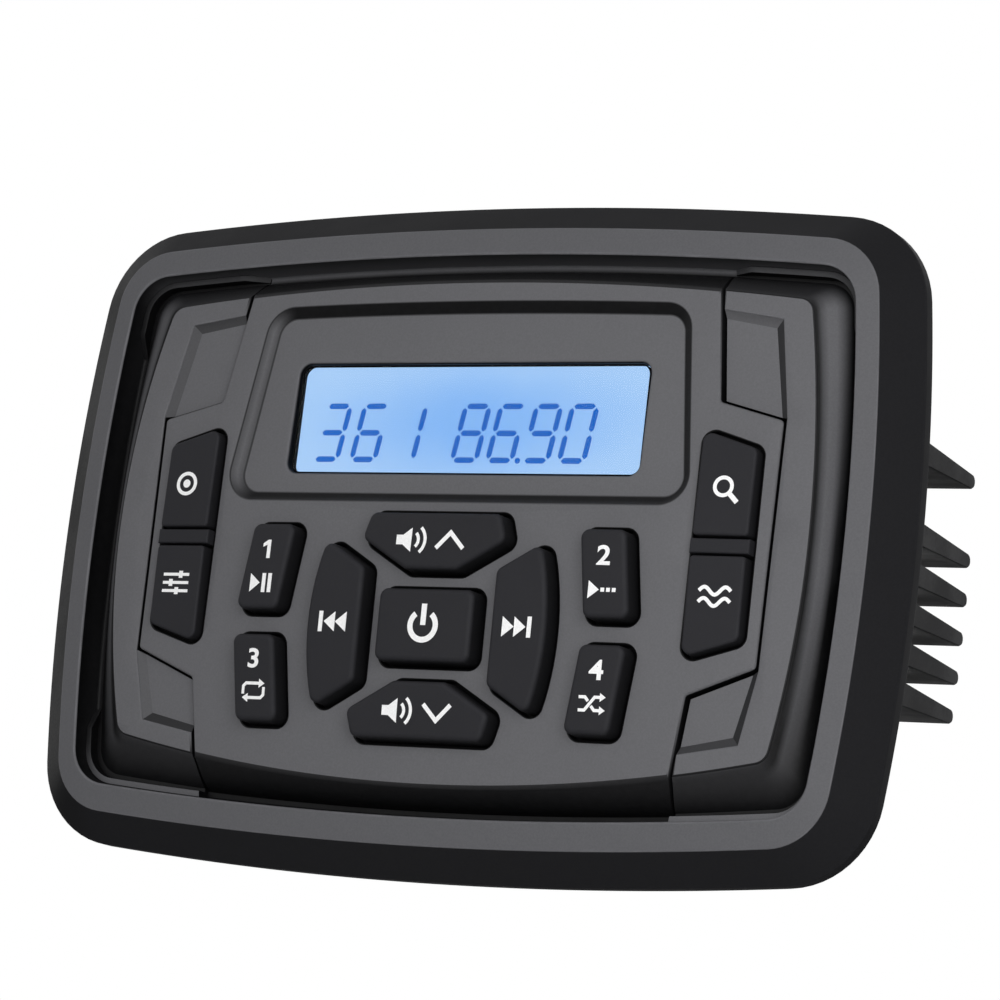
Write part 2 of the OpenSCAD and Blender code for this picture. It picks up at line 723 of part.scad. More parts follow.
module key(opening, web) color("#2b2b2d") stand() {
    cap = inset(opening, key_gap);
    cap_r = key_r - key_gap;
    top = web == 0 ? key_at : side_key_at;
    loft([[flange_back, rounded(cap, cap_r)],
          [top - key_round, rounded(inset(cap, 0.15), cap_r - 0.15)],
          [top - key_round * 0.3, rounded(inset(cap, 0.15 + key_round * 0.3), cap_r - 0.15 - key_round * 0.3)],
          [top, rounded(inset(cap, 0.15 + key_round), cap_r - 0.15 - key_round)]]);
    key_flange_plate(opening, web);
}

// The flange stops short of the web that two side keys share
module key_flange_plate(opening, web) intersection() {
    prism(rounded(inset(opening, key_gap - key_flange), key_r), flange_back, flange_at);
    low = web > 0 ? web_top + key_gap : -big;
    high = web < 0 ? web_low - key_gap : big;
    translate([-big, low, 0]) cube([2 * big, high - low, big]);
}

mat_cut_x = recess_outline[1].x + fit_gap;

module key_mat() color("#2a2a2c") stand() {
    difference() {
        panel_space(fit_gap, board_at, panel_back);
        translate([-mat_cut_x, recess_outline[0].y - fit_gap, 0]) cube([2 * mat_cut_x, big, big]);
        for (k = KEYS) prism(rounded(inset(k[1], key_gap - key_flange - run_gap), key_r), 0, panel_at);
        bored(panel_points, panel_boss_r + fit_gap, 0, panel_at);
    }
    for (s = [-1, 1]) prism(
        rectangle((side_out_x - side_in_x) * sx - 2 * fit_gap, web_top - web_low + 2 * (key_gap - run_gap),
                  s * sx * (side_in_x + side_out_x) / 2, (web_top + web_low) / 2),
        board_at, web_at);
}

module contact_domes() color("#c9b27a") stand()
    for (k = KEYS) {
        p = middle(k[1]);
        translate([p.x, p.y, board_at]) cylinder(r1 = dome_r, r2 = dome_r * 0.6, h = dome_t);
    }

// Boards

module front_board() color("#1d5b38") stand() difference() {
    panel_space(fit_gap, floor_at, board_at);
    prism(display_pocket, 0, panel_at);
    bored(panel_points, screw_r + screw_slack, 0, panel_at);
}

stack_z = chassis_z - chassis_h / 2 + seal_w + fit_gap + stack_h / 2;

module stacking_connector() color("#161617") stand()
    prism(rectangle(stack_w, stack_h, 0, stack_z), main_at, floor_at);

module main_board() color("#1d5b38") stand() difference() {
    prism(rectangle(main_board_w, main_board_h, 0, chassis_z), main_back, main_at);
    bored(main_points, screw_r + screw_slack, -big, big);
    bored([for (s = [-1, 1]) [s * gland_x, land_z]], gland_clear_r, -big, big);
}

parts_z = chassis_z - main_board_h / 6;
chip = rectangle(chip_w, chip_h, main_board_w / 9, parts_z);

module amplifier_chip() color("#1a1a1b") stand() prism(chip, main_back - chip_t, main_back);

screw_side_x = main_board_w / 2 - board_screw_in - screw_head_r;
tuner = rectangle(tuner_w, tuner_h, run_gap + tuner_w / 2 - screw_side_x, parts_z);
lid_edge = tuner_w / 12;

module tuner_module() color("#b8babd") stand() difference() {
    prism(tuner, main_at, main_at + tuner_t);
    prism(inset(tuner, lid_edge), main_at + tuner_t - lid_edge / 4, main_at + tuner_t + 1);
}

module filter_capacitors() color("#2d3f66") stand()
    for (k = [0:2]) translate([screw_side_x - run_gap - capacitor_r * (1 + 2.4 * k), parts_z, main_at])
        rotate_extrude() polygon([
            [0, 0], [capacitor_r, 0], [capacitor_r, capacitor_l * 0.13], [capacitor_r * 0.93, capacitor_l * 0.18],
            [capacitor_r, capacitor_l * 0.23], [capacitor_r, capacitor_l * 0.93],
            [capacitor_r * 0.92, capacitor_l], [0, capacitor_l]
        ]);

// Rear housing

module chassis_seal() color("#131314") stand() difference() {
    prism(rounded(rectangle(chassis_w, chassis_h, 0, chassis_z), chassis_r), chassis_at, 0);
    prism(floor_opening, -1, 1);
    bored(chassis_points, screw_r + screw_slack, -1, 1);
}

pad = inset(chip, -2);
chassis_inner = inset(rectangle(chassis_w, chassis_h, 0, chassis_z), chassis_t);

module rear_chassis() color("#1c1c1e") stand() difference() {
    union() {
        difference() {
            prism(rounded(rectangle(chassis_w, chassis_h, 0, chassis_z), chassis_r), chassis_back, chassis_at);
            prism(rounded(chassis_inner, chassis_r - chassis_t), chassis_back + chassis_t, 1);
        }
        bored(chassis_points, screw_r + 2, chassis_back + 1, chassis_at);
        bored(main_points, screw_r + 1.5, chassis_back + 1, main_back);
        bored(sink_points, screw_r + 1.5, chassis_back + 1, chassis_back + chassis_t + sink_boss_l);
    }
    bored(chassis_points, screw_r + thread_gap, floor_at - screw_l - 0.4, 1);
    bored(main_points, screw_r + thread_gap, main_at - screw_l - 0.2, 0);
    bored(sink_points, screw_r + thread_gap, -big, sink_back + screw_l + 0.4);
    prism(inset(pad, -fit_gap), -big, 0);
    for (s = [-1, 1]) bored([[s * gland_x, land_z]], gland_body_r(s) + fit_gap, -big, 0);
}

// One fin as a profile across the heat sink: flared root, straight taper and round tip
module fin_profile(length) {
    tip_r = fin_tip / 2;
    polygon([[-fin_pitch / 2, 0], [fin_pitch / 2, 0], [fin_root / 2, fin_flare], [tip_r, length - tip_r],
             [-tip_r, length - tip_r], [-fin_root / 2, fin_flare]]);
    translate([0, length - tip_r]) circle(r = tip_r);
}

module heat_sink() color("#2a2a2c") stand() difference() {
    union() {
        prism(rounded(rectangle(chassis_w, chassis_h, 0, chassis_z), chassis_r), sink_back, chassis_back);
        for (k = FINS)
            translate([-chassis_w / 2, fin_z + k * fin_pitch, sink_back])
                rotate([0, 90, 0]) rotate(-90) linear_extrude(chassis_w)
                    fin_profile(fin_l - fin_crown * k * k);
        prism(pad, chassis_back - 1, main_back - chip_t);
    }
    for (s = [-1, 1]) {
        bored([[s * gland_x, land_z]], gland_clear_r, -big, sink_back);
        bored([[s * gland_x, land_z]], gland_body_r(s) + fit_gap, -big, big);
    }
    bored(sink_points, screw_r + screw_slack, -big, big);
    bored(sink_points, screw_head_r + 2 * screw_slack, -big, sink_back);
}

// Glands: a rubber sleeve through the rear wall with a collar on each face
function gland_bore(s) = s < 0 ? loom_r : aerial_r;
function gland_body_r(s) = gland_bore(s) + gland_t;
collar_t = 1.4;

module gland(s) color("#111112") stand() translate([s * gland_x, land_z, 0]) rotate_extrude() {
    inner = gland_bore(s);
    body = gland_body_r(s);
    collar = body + gland_t;
    polygon([[inner, sink_back - 2 * collar_t], [body, sink_back - 2 * collar_t],
             [collar, sink_back - collar_t], [collar, sink_back], [body, sink_back],
             [body, chassis_back + chassis_t], [collar, chassis_back + chassis_t],
             [body, chassis_back + chassis_t + collar_t], [inner, chassis_back + chassis_t + collar_t]]);
}

module loom_gland() gland(-1);
module aerial_gland() gland(1);

// Screws

module panel_screws() color("#b9bbbe") stand()
    for (p = panel_points) translate(p) mirror([0, 0, 1]) countersunk(0, panel_screw_l);

module chassis_screws() color("#b9bbbe") stand()
    for (p = chassis_points) translate([p.x, p.y, floor_at]) countersunk(0, screw_l);

module main_board_screws() color("#b9bbbe") stand()
    for (p = main_points) translate([p.x, p.y, main_at]) pan_screw(screw_l);

module heat_sink_screws() color("#b9bbbe") stand()
    for (p = sink_points) translate([p.x, p.y, sink_back]) mirror([0, 0, 1]) pan_screw(screw_l);

bezel();
front_panel();
left_trim();
right_trim();
display_lens();
display_glass();
display_backlight();
key_mat();
for (k = KEYS) key(k[1], k[2]);
contact_domes();
front_board();
stacking_connector();
main_board();
amplifier_chip();
tuner_module();
filter_capacitors();
rear_chassis();
chassis_seal();
heat_sink();
loom_gland();
aerial_gland();
flange_gasket();
panel_screws();
chassis_screws();
main_board_screws();
heat_sink_screws();
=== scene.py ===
import math

import bmesh
import bpy
from mathutils import Matrix, Vector
from mathutils.geometry import delaunay_2d_cdt


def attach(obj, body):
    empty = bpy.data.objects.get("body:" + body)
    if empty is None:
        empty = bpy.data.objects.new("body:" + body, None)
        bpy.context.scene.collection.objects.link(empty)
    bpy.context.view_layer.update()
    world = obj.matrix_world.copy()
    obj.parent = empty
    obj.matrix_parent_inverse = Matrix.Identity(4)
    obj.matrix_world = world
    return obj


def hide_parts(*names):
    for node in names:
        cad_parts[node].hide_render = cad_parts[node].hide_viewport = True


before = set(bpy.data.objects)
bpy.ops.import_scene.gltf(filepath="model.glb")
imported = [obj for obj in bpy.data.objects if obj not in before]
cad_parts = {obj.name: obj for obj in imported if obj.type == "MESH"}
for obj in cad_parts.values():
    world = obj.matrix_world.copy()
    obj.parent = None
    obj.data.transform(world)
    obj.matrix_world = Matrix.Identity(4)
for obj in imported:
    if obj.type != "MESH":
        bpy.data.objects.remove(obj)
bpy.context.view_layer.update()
MM = 0.001

# Degrees to a step of a rounded corner and of a rounded bend, and the angle from which an edge is sharp
CORNER_STEP, BEND_STEP, SHARP = 9.0, 22.0, 34.0
# Spacing of the points inside a domed plate
GRID = 3.6

# Heights from the mounting plane towards the front
EDGE, RIM_OUT, RIM_IN, FLOOR = 2.8, 8.2, 9.0, 3.2
PANEL, PANEL_BACK, RECESS, RECESS_BACK = 10.0, 8.0, 8.2, 6.8
LENS, LENS_BACK, FLANGE_BACK, FLANGE = 7.6, 5.6, 6.7, 7.7
KEY_TOP, SIDE_TOP, WEB_TOP = 13.2, 11.6, 11.25
BOARD, CHASSIS, CHASSIS_BACK, SINK_BACK = 4.8, -0.8, -16.5, -20.5

# Places of screws, holes and glands
MOUNTS = [(x, z) for x in (-55, 55) for z in (-33.5, 33.5)]
PANEL_SCREWS = [(-36.05, 34.2), (36.05, 34.2), (-19.925, -35.3), (19.925, -35.3)]
CHASSIS_SCREWS = [(x, z) for x in (-62, 62) for z in (-21, 20)]
BOARD_SCREWS = [(x, z) for x in (-51.5, 51.5) for z in (-16, 15)]
SINK_SCREWS = [(-62, 15.2), (62, 15.2), (-62, -23.8), (62, -23.8)]
GLANDS = {"loom_gland": (-26, 15.2, 4.5), "aerial_gland": (26, 15.2, 2.6)}

# Half the gap at a seam, and the insets at which the bezel's bevel and rim end
SEAM_GAP, BEVEL_END, RIM_END = 0.25, 5.2, 10.2
# Radii of the mounting holes, of the screws' holes and countersinks, and of the bores in their posts
MOUNT_HOLE, SCREW_HOLE, COUNTERSINK, SCREW_BORE = 2.15, 1.7, 3.0, 1.55
# Wall of a gland in its seat, and the fins' clearing round it
GLAND_WALL, CLEARING = 1.75, 9.6
# Fins: length and height of the middle one, pitch and loss of length; half the width of the case
FIN_LENGTH, FIN_MIDDLE, FIN_PITCH, FIN_LOSS, HALF_WIDTH = 29.0, 1.8, 6.7, 0.15, 68.0


# Outlines, counter-clockwise as seen from the front

def inward(a, b):
    length = math.hypot(b[0] - a[0], b[1] - a[1])
    return (a[1] - b[1]) / length, (b[0] - a[0]) / length


def corner(p, a, b, d):
    """A corner moved by d away from its two edges, whose inward directions are a and b."""
    k = d / (1 + a[0] * b[0] + a[1] * b[1])
    return p[0] + k * (a[0] + b[0]), p[1] + k * (a[1] + b[1])


def with_edges(outline):
    """Each point of an outline with the inward directions of its two edges."""
    for i, p in enumerate(outline):
        yield p, inward(outline[i - 1], p), inward(p, outline[(i + 1) % len(outline)])


def inset(outline, d):
    """Every edge of an outline moved inwards by d."""
    return [corner(p, a, b, d) for p, a, b in with_edges(outline)]


def arc(cx, cz, r, start, end, steps):
    angles = [start + (end - start) * i / steps for i in range(steps + 1)]
    return [(cx + r * math.cos(a), cz + r * math.sin(a)) for a in angles]


def rounded(outline, radii):
    """An outline with its corners rounded, the hollow ones too."""
    points = []
    for i, (p, a, b) in enumerate(with_edges(outline)):
        r = radii if isinstance(radii, (int, float)) else radii[i]
        if r <= 0:
            points.append(p)
            continue
        turn = math.atan2(a[0] * b[1] - a[1] * b[0], a[0] * b[0] + a[1] * b[1])
        side = 1 if turn > 0 else -1
        start = math.atan2(-side * a[1], -side * a[0])
        steps = max(1, math.ceil(abs(math.degrees(turn)) / CORNER_STEP - 1e-6))
        points += arc(*corner(p, a, b, side * r), r, start, start + turn, steps)
    return points


def mirrored(outline):
    return [(-x, z) for x, z in reversed(outline)]


def flipped(outline, z0):
    return [(x, 2 * z0 - z) for x, z in reversed(outline)]


def moved(outline, dx, dz):
    return [(x + dx, z + dz) for x, z in outline]


def circle(x, z, r, steps=28):
    return arc(x, z, r, 0, math.tau, steps)[:-1]


def rectangle(w, h, x, z):
    return [(x - w / 2, z - h / 2), (x + w / 2, z - h / 2), (x + w / 2, z + h / 2), (x - w / 2, z + h / 2)]


class Bulge:
    """A rectangle whose sides bulge as arcs that blend into round corners."""

    def __init__(self, hw, hh, long_r, short_r, corner_r):
        self.top = (0.0, hh - long_r)
        self.side = (hw - short_r, 0.0)
        self.long_r, self.short_r, self.corner_r = long_r, short_r, corner_r
        dx, dz = self.side[0] - self.top[0], self.side[1] - self.top[1]
        gap = math.hypot(dx, dz)
        p, q = long_r - corner_r, short_r - corner_r
        along = (p * p - q * q + gap * gap) / (2 * gap)
        across = math.sqrt(p * p - along * along)
        self.corner = (self.top[0] + (along * dx + across * dz) / gap,
                       self.top[1] + (along * dz - across * dx) / gap)
        self.side_a = math.atan2(self.corner[1] - self.side[1], self.corner[0] - self.side[0])
        self.top_a = math.atan2(self.corner[1] - self.top[1], self.corner[0] - self.top[0])

    def quarter(self, first=0.0, last=math.pi / 2, steps=(12, 12, 24)):
        """From an angle on the short side to an angle on the long side, in the upper right quarter."""
        return (arc(*self.side, self.short_r, first, self.side_a, steps[0])[:-1]
                + arc(*self.corner, self.corner_r, self.side_a, self.top_a, steps[1])
                + arc(*self.top, self.long_r, self.top_a, last, steps[2])[1:])

    def outline(self):
        q = self.quarter()
        m = len(q) - 1
        return (q[:m] + [(-x, z) for x, z in reversed(q[1:])] + [(-x, -z) for x, z in q[:m]]
                + [(x, -z) for x, z in reversed(q[1:])])

    def top_z(self, x):
        return self.top[1] + math.sqrt(self.long_r ** 2 - x * x)


def bezel_at(d):
    return Bulge(79.7 - d, 56.9 - d, 700 - d, 350 - d, 15.5 - d)


def rim_at(d):
    return Bulge(70.2 - d, 47.35 - d, 700 - d, 350 - d, 7 - d)


def bezel_front_at(d):
    """The bezel's outline inset by d: over its bevel, over its rim and down its groove."""
    if d <= BEVEL_END:
        return Bulge(79.7 - d * 6 / BEVEL_END, 56.9 - d, 700 - d, 350 - d, 15.5 - d)
    if d < RIM_END:
        t = (d - BEVEL_END) / (RIM_END - BEVEL_END)
        return Bulge(73.7 - 3.5 * t, 51.7 - 4.35 * t, 695 + 5 * t, 345 + 5 * t, 10.3 - 3.3 * t)
    return rim_at(d - RIM_END)


def island_at(d, sign):
    """The raised island's upper or lower half inset by d; -4 spreads it to the groove's outer side."""
    hh, long_r, short_r = (42.7, 506, 175) if sign > 0 else (42.2, 275, 150)
    if d >= 0:
        return Bulge(64.5 - d, hh - d, long_r - d, short_r - d, max(0.4, 2.8 - d))
    t = -d / 4
    long_r = 1 / ((1 - t) / long_r + t / 698)
    short_r = 1 / ((1 - t) / short_r + t / 348)
    return Bulge(64.5 + 4.0 * t, hh + (45.65 - hh) * t, long_r, short_r, 2.8 + 2.5 * t)


SEAM_RIGHT = [(46.1 - 2.2 / 15.8 * 30.8, -56.6), (46.1, -25.9), (57.6, -21.2), (58.1, 19.0), (46.9, 22.0),
              (46.9 - 2.6 / 20.0 * 35.0, 56.6)]
SEAM = SEAM_RIGHT + mirrored(SEAM_RIGHT)


def seam_right(d):
    """The right-hand seam moved into the panel by d, from the bottom to the top."""
    return inset(SEAM, d)[:6]


def meet(a, b, bulge, sign):
    """Where the line from a to b crosses the island's upper or lower edge."""
    low, high = 0.0, 1.0
    for _ in range(50):
        t = (low + high) / 2
        x, z = a[0] + t * (b[0] - a[0]), a[1] + t * (b[1] - a[1])
        if sign * z < bulge.top_z(x):
            low = t
        else:
            high = t
    return x, z


def seam_point(a, b, x=None, z=None):
    """The point of the line from a to b at a given x or z."""
    t = (x - a[0]) / (b[0] - a[0]) if z is None else (z - a[1]) / (b[1] - a[1])
    return a[0] + t * (b[0] - a[0]), a[1] + t * (b[1] - a[1])


def edge_run(bulge, start, end, sign, steps=40):
    """Points on the island's upper or lower edge from x start to x end."""
    xs = [start + (end - start) * i / steps for i in range(steps + 1)]
    return [(x, sign * bulge.top_z(x)) for x in xs]


def seam_ends(edge_d, seam_d):
    """The island's halves inset by edge_d, and the right-hand seam moved by seam_d with its ends on both."""
    lower, upper = island_at(edge_d, -1), island_at(edge_d, 1)
    seam = seam_right(seam_d)
    return lower, upper, seam, meet(seam[1], seam[0], lower, -1), meet(seam[4], seam[5], upper, 1)


def panel_outline(edge_d, seam_d):
    """The front panel between the two seams, its upper and lower edges inset by edge_d."""
    lower, upper, seam, low, high = seam_ends(edge_d, seam_d)
    bottom = edge_run(lower, -low[0], low[0], -1)
    top = edge_run(upper, high[0], -high[0], 1)
    hollow, full = 0.5 + seam_d, 1.1 - seam_d
    bends = [0, hollow, full, full, hollow, 0]
    side = [seam_point(low, seam[1], z=low[1] + 0.6), *seam[1:5], seam_point(high, seam[4], z=high[1] - 0.6)]
    return rounded(bottom + side + top + mirrored(side), [0] * len(bottom) + bends + [0] * len(top) + bends)


def trim_edge(d, seam_d=-SEAM_GAP):
    """The right trim's outer edge from its lower to its upper seam end."""
    lower, upper, _, low, high = seam_ends(d, seam_d)
    rising = upper.quarter(0, math.acos(high[0] / upper.long_r), (12, 10, 16))
    falling = lower.quarter(0, math.acos(low[0] / lower.long_r), (12, 10, 16))
    return [(x, -z) for x, z in reversed(falling[1:])] + rising


# Key openings
CLUSTER = -16.5


def track_outline():
    tip_x, tip_z, bulge = 20.3, 14.8, 2.4
    r = (tip_z * tip_z + bulge * bulge) / (2 * bulge)
    a = math.asin(tip_z / r)
    turns = [-1] + [-0.72 + 0.12 * i for i in range(13)] + [1]
    side = [(tip_x + bulge - r + r * math.cos(a * t), CLUSTER + r * math.sin(a * t)) for t in turns]
    return [(11.7, CLUSTER + 9.7), (11.7, CLUSTER - 9.7)] + side


def preset_outline(z, lean):
    quarters = ((-1, -1), (1, -1), (1, 1), (-1, 1))
    return [(31.5 + cx * 4.6 + cz * lean / 2, z + cz * 7.75) for cx, cz in quarters]


VOLUME = [(-4.9, -7.9), (4.9, -7.9), (14, -2.6), (12.4, 2.6), (-12.4, 2.6), (-14, -2.6)]
SIDE_PAIR = [(44.7, -20.7), (55.3, -17.4), (55.3, 14.2), (44.7, 17.5)]
SIDE_UPPER = [(44.7, -0.9), (55.3, -0.9), (55.3, 14.2), (44.7, 17.5)]
SIDE_LOWER = [(44.7, -20.7), (55.3, -17.4), (55.3, -3.1), (44.7, -3.1)]
UPPER_R = [1.2, 1.2, 2, 2]
LOWER_R = [2, 2, 1.2, 1.2]
KEYS = {
    "power": (rectangle(18.7, 13, 0, CLUSTER), 2),
    "volume_up": (VOLUME, 2),
    "volume_down": (flipped(VOLUME, CLUSTER), 2),
    "previous": (mirrored(track_outline()), 2),
    "next": (track_outline(), 2),
    "preset_1": (mirrored(preset_outline(-7.3, -2.1)), 2),
    "preset_2": (preset_outline(-7.3, -2.1), 2),
    "preset_3": (mirrored(preset_outline(-25.9, 2.1)), 2),
    "preset_4": (preset_outline(-25.9, 2.1), 2),
    "left_upper": (mirrored(SIDE_UPPER), UPPER_R[::-1]),
    "left_lower": (mirrored(SIDE_LOWER), LOWER_R[::-1]),
    "right_upper": (SIDE_UPPER, UPPER_R),
    "right_lower": (SIDE_LOWER, LOWER_R),
}


def at_side(name):
    return name.startswith(("left", "right"))


OPENINGS = [line for name, (line, _) in KEYS.items() if not at_side(name)] + [SIDE_PAIR, mirrored(SIDE_PAIR)]


def softened(outline, radii, d):
    """An outline inset by d with its corner radii kept concentric."""
    if isinstance(radii, (int, float)):
        return rounded(inset(outline, d), radii - d)
    return rounded(inset(outline, d), [max(0.05, r - d) for r in radii])


# Display recess and window
CROWN = [1.0] + [0.8 - 0.1 * i for i in range(17)] + [-1.0]
RECESS_LINE = [(-43.6, 4.6), (43.6, 4.6)] + [(39.4 * u, 38.4 + 0.6 * (1 - u * u)) for u in CROWN]
RECESS_R = [5, 5, 5] + [0] * 17 + [5]
WINDOW = rectangle(66, 19, 0, 19.3)


def recess_outline(d):
    return rounded(inset(RECESS_LINE, d), [r - d if r else 0 for r in RECESS_R])


def window_outline(d):
    return softened(WINDOW, 2, d)


# Meshes, as rings of points joined by bands and filled by plates

def profile(points, radii):
    """A path of (inset, height, edge wear and highlight) with rounded bends; a negative radius marks a bend
    without them.
    """
    path = [(*points[0], 0.0)]
    for i in range(1, len(points) - 1):
        p, r = points[i], abs(radii[i - 1])
        u = Vector((p[0] - points[i - 1][0], p[1] - points[i - 1][1])).normalized()
        v = Vector((points[i + 1][0] - p[0], points[i + 1][1] - p[1])).normalized()
        turn = math.atan2(u.x * v.y - u.y * v.x, u.dot(v))
        if r == 0:
            path.append((*p, 0.0))
            continue
        side = 1 if turn > 0 else -1
        start = Vector(p) - u * r * math.tan(abs(turn) / 2)
        middle = start + Vector((-u.y, u.x)) * r * side
        steps = max(2, math.ceil(abs(math.degrees(turn)) / BEND_STEP))
        for s in range(steps + 1):
            arm = start - middle
            arm.rotate(Matrix.Rotation(turn * s / steps, 2))
            wear_and_highlight = math.sin(math.pi * s / steps) if radii[i - 1] > 0 else 0.0
            path.append((middle.x + arm.x, middle.y + arm.y, wear_and_highlight))
    path.append((*points[-1], 0.0))
    return path


def outward(outline):
    """The direction out of an outline at each of its points."""
    sides = []
    for i in range(len(outline)):
        (ax, az), (bx, bz) = outline[i - 1], outline[(i + 1) % len(outline)]
        length = math.hypot(bx - ax, bz - az) or 1.0
        sides.append(((bz - az) / length, (ax - bx) / length))
    return sides


def by_side(right, top, left, bottom):
    """A value that follows the direction of an outline."""
    def value(side):
        x, z = side
        return (right if x > 0 else left) * x * x + (top if z > 0 else bottom) * z * z
    return value


def swell(x, height, z):
    """How far the gently domed front stands above its mean plane, fading out towards the groove's floor."""
    rise = max(-2.4, 1.4 - x * x / 2100 - z * z / 760)
    return rise * min(1.0, max(0.0, (height - FLOOR) / (PANEL - FLOOR)))


def inside(x, z, places, edges):
    """Whether a point lies inside closed lines."""
    crossings = 0
    for a, b in edges:
        p, q = places[a], places[b]
        if (p.y > z) != (q.y > z) and x < p.x + (z - p.y) * (q.x - p.x) / (q.y - p.y):
            crossings += 1
    return crossings % 2 == 1


class Shell:
    """Gathers the points and faces of one piece; flip = -1 makes its mirror image.

    Each face corner carries a painted shade value, from 0 where the finish shows plainly to 1 where it is
    darkened fully as painted shade.
    """

    def __init__(self, flip=1, domed=False):
        self.mesh = bmesh.new()
        self.domed = domed
        self.wear_and_highlight = self.mesh.verts.layers.float.new("wear_and_highlight")
        self.painted_shade = self.mesh.loops.layers.float.new("painted_shade")
        self.flip = flip
        self.finish = 0

    def point(self, x, height, z, wear_and_highlight=0.0):
        if self.domed:
            height += swell(x, height, z)
        vertex = self.mesh.verts.new((self.flip * x * MM, -height * MM, z * MM))
        vertex[self.wear_and_highlight] = wear_and_highlight
        return vertex

    def ring(self, outline, height, wear_and_highlight=0.0):
        return [self.point(x, height, z, wear_and_highlight) for x, z in outline]

    def face(self, corners, painted_shade=0.0):
        made = self.mesh.faces.new(corners)
        made.material_index = self.finish
        for i, loop in enumerate(made.loops):
            loop[self.painted_shade] = painted_shade if isinstance(painted_shade, (int, float)) else painted_shade[i]

    def band(self, a, b, closed=True, painted_shade=0.0):
        """Faces between two rows of points; the painted shade is one value or the values of each row."""
        count = len(a)
        low, high = ([painted_shade] * count, [painted_shade] * count) if isinstance(painted_shade, (int, float)) else painted_shade
        for i in range(count if closed else count - 1):
            j = (i + 1) % count
            self.face((a[i], a[j], b[j], b[i]), (low[i], low[j], high[j], high[i]))

    def sweep(self, outline_at, path, finishes=None, painted_shade=None):
        """Rings of an outline along a path of (inset, height, edge wear and highlight), some bands in a
        finish of their own.
        """
        lines = [outline_at(d) for d, h, w in path]
        rows = [self.ring(line, h, w) for line, (d, h, w) in zip(lines, path)]
        for i in range(len(rows) - 1):
            self.finish = finishes.get(i, 0) if finishes else 0
            values = [[painted_shade(k, side) for side in outward(lines[k])] for k in (i, i + 1)] if painted_shade else 0.0
            self.band(rows[i], rows[i + 1], painted_shade=values)
        self.finish = 0
        return rows[0], rows[-1]

    def fill(self, outer, *holes, level=None):
        """A plate inside one ring and outside the others; a level adds inner points that follow the dome."""
        rings = [outer, *holes]
        corners = [v for ring in rings for v in ring]
        places = [Vector((v.co.x, v.co.z)) / MM for v in corners]
        edges = []
        start = 0
        for ring in rings:
            edges += [(start + i, start + (i + 1) % len(ring)) for i in range(len(ring))]
            start += len(ring)
        lines = list(places)
        if level is not None:
            xs, zs = [p.x for p in lines], [p.y for p in lines]
            for i in range(1, int((max(xs) - min(xs)) / GRID)):
                for k in range(1, int((max(zs) - min(zs)) / GRID)):
                    x, z = min(xs) + i * GRID, min(zs) + k * GRID
                    near = min((x - p.x) ** 2 + (z - p.y) ** 2 for p in lines)
                    if near > 1.5 and inside(x, z, lines, edges):
                        places.append(Vector((x, z)))
                        corners.append(self.point(self.flip * x, level, z))
        coords, _, triangles, origin, _, _ = delaunay_2d_cdt(places, edges, [], 0, 1e-6)
        for triangle in triangles:
            centre = (coords[triangle[0]] + coords[triangle[1]] + coords[triangle[2]]) / 3
            if inside(centre.x, centre.y, lines, edges):
                self.face([corners[origin[k][0]] for k in triangle])

    def skin(self, rows):
        """Bands between each row of points and the next; gives back the first and the last row."""
        for a, b in zip(rows, rows[1:]):
            self.band(a, b)
        return rows[0], rows[-1]

    def turned(self, x, z, path, steps=28):
        """A skin of circles about one point, along a path of (radius, height), with edge wear and highlight
        where it has any.
        """
        return self.skin([self.ring(circle(x, z, r, steps), *rest) for r, *rest in path])

    def cap(self, *skins):
        """Plates at both ends of a skin, with the other skins as holes through them."""
        for rings in zip(*skins):
            self.fill(*rings)

    def prism(self, outline, low, high, holes=()):
        """A closed plate of an outline with holes."""
        self.cap(*[self.skin([self.ring(shape, h) for h in (low, high)]) for shape in (outline, *holes)])

    def tube(self, x, z, inner, outer, low, high):
        """A closed round sleeve."""
        self.turned(x, z, [(inner, low), (outer, low), (outer, high), (inner, high), (inner, low)], 24)

    def piece(self, name, *materials):
        """The finished object, with faces outwards and even shading."""
        bmesh.ops.remove_doubles(self.mesh, verts=self.mesh.verts[:], dist=2e-6)
        bmesh.ops.recalc_face_normals(self.mesh, faces=self.mesh.faces[:])
        data = bpy.data.meshes.new(name)
        self.mesh.to_mesh(data)
        self.mesh.free()
        for polygon in data.polygons:
            polygon.use_smooth = True
        data.set_sharp_from_angle(angle=math.radians(SHARP))
        for material in materials:
            data.materials.append(material)
        return evened(name, data)


def linked(name, data):
    """A new object in the scene."""
    obj = bpy.data.objects.new(name, data)
    bpy.context.collection.objects.link(obj)
    return obj


def evened(name, data):
    """An object whose flat faces stay flat beside their rounded edges."""
    obj = linked(name, data)
    even = obj.modifiers.new("even", "WEIGHTED_NORMAL")
    even.keep_sharp = True
    even.weight = 100
    return flattened(obj)


def plain_mesh(obj):
    """The mesh that an object's modifiers or its letters make."""
    bpy.context.view_layer.update()
    return bpy.data.meshes.new_from_object(obj.evaluated_get(bpy.context.evaluated_depsgraph_get()))


def flattened(obj):
    """The object with its modifiers turned into a plain mesh."""
    data = plain_mesh(obj)
    obj.modifiers.clear()
    obj.data = data
    return obj


def place(obj, slot, *nodes, body="housing"):
    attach(obj, body)
    if nodes:
        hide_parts(*nodes)


# Shader groups

def feed(tree, value, socket):
    """Sets an input to a plain value, or links it to an output."""
    if isinstance(value, bpy.types.NodeSocket):
        tree.links.new(value, socket)
    else:
        socket.default_value = value


def fed(tree, made, **inputs):
    """A node with its inputs fed; _ stands for the space in an input's name."""
    for label, value in inputs.items():
        feed(tree, value, made.inputs[label.replace("_", " ")])
    return made


def node(tree, kind, **inputs):
    return fed(tree, tree.nodes.new(kind), **inputs)


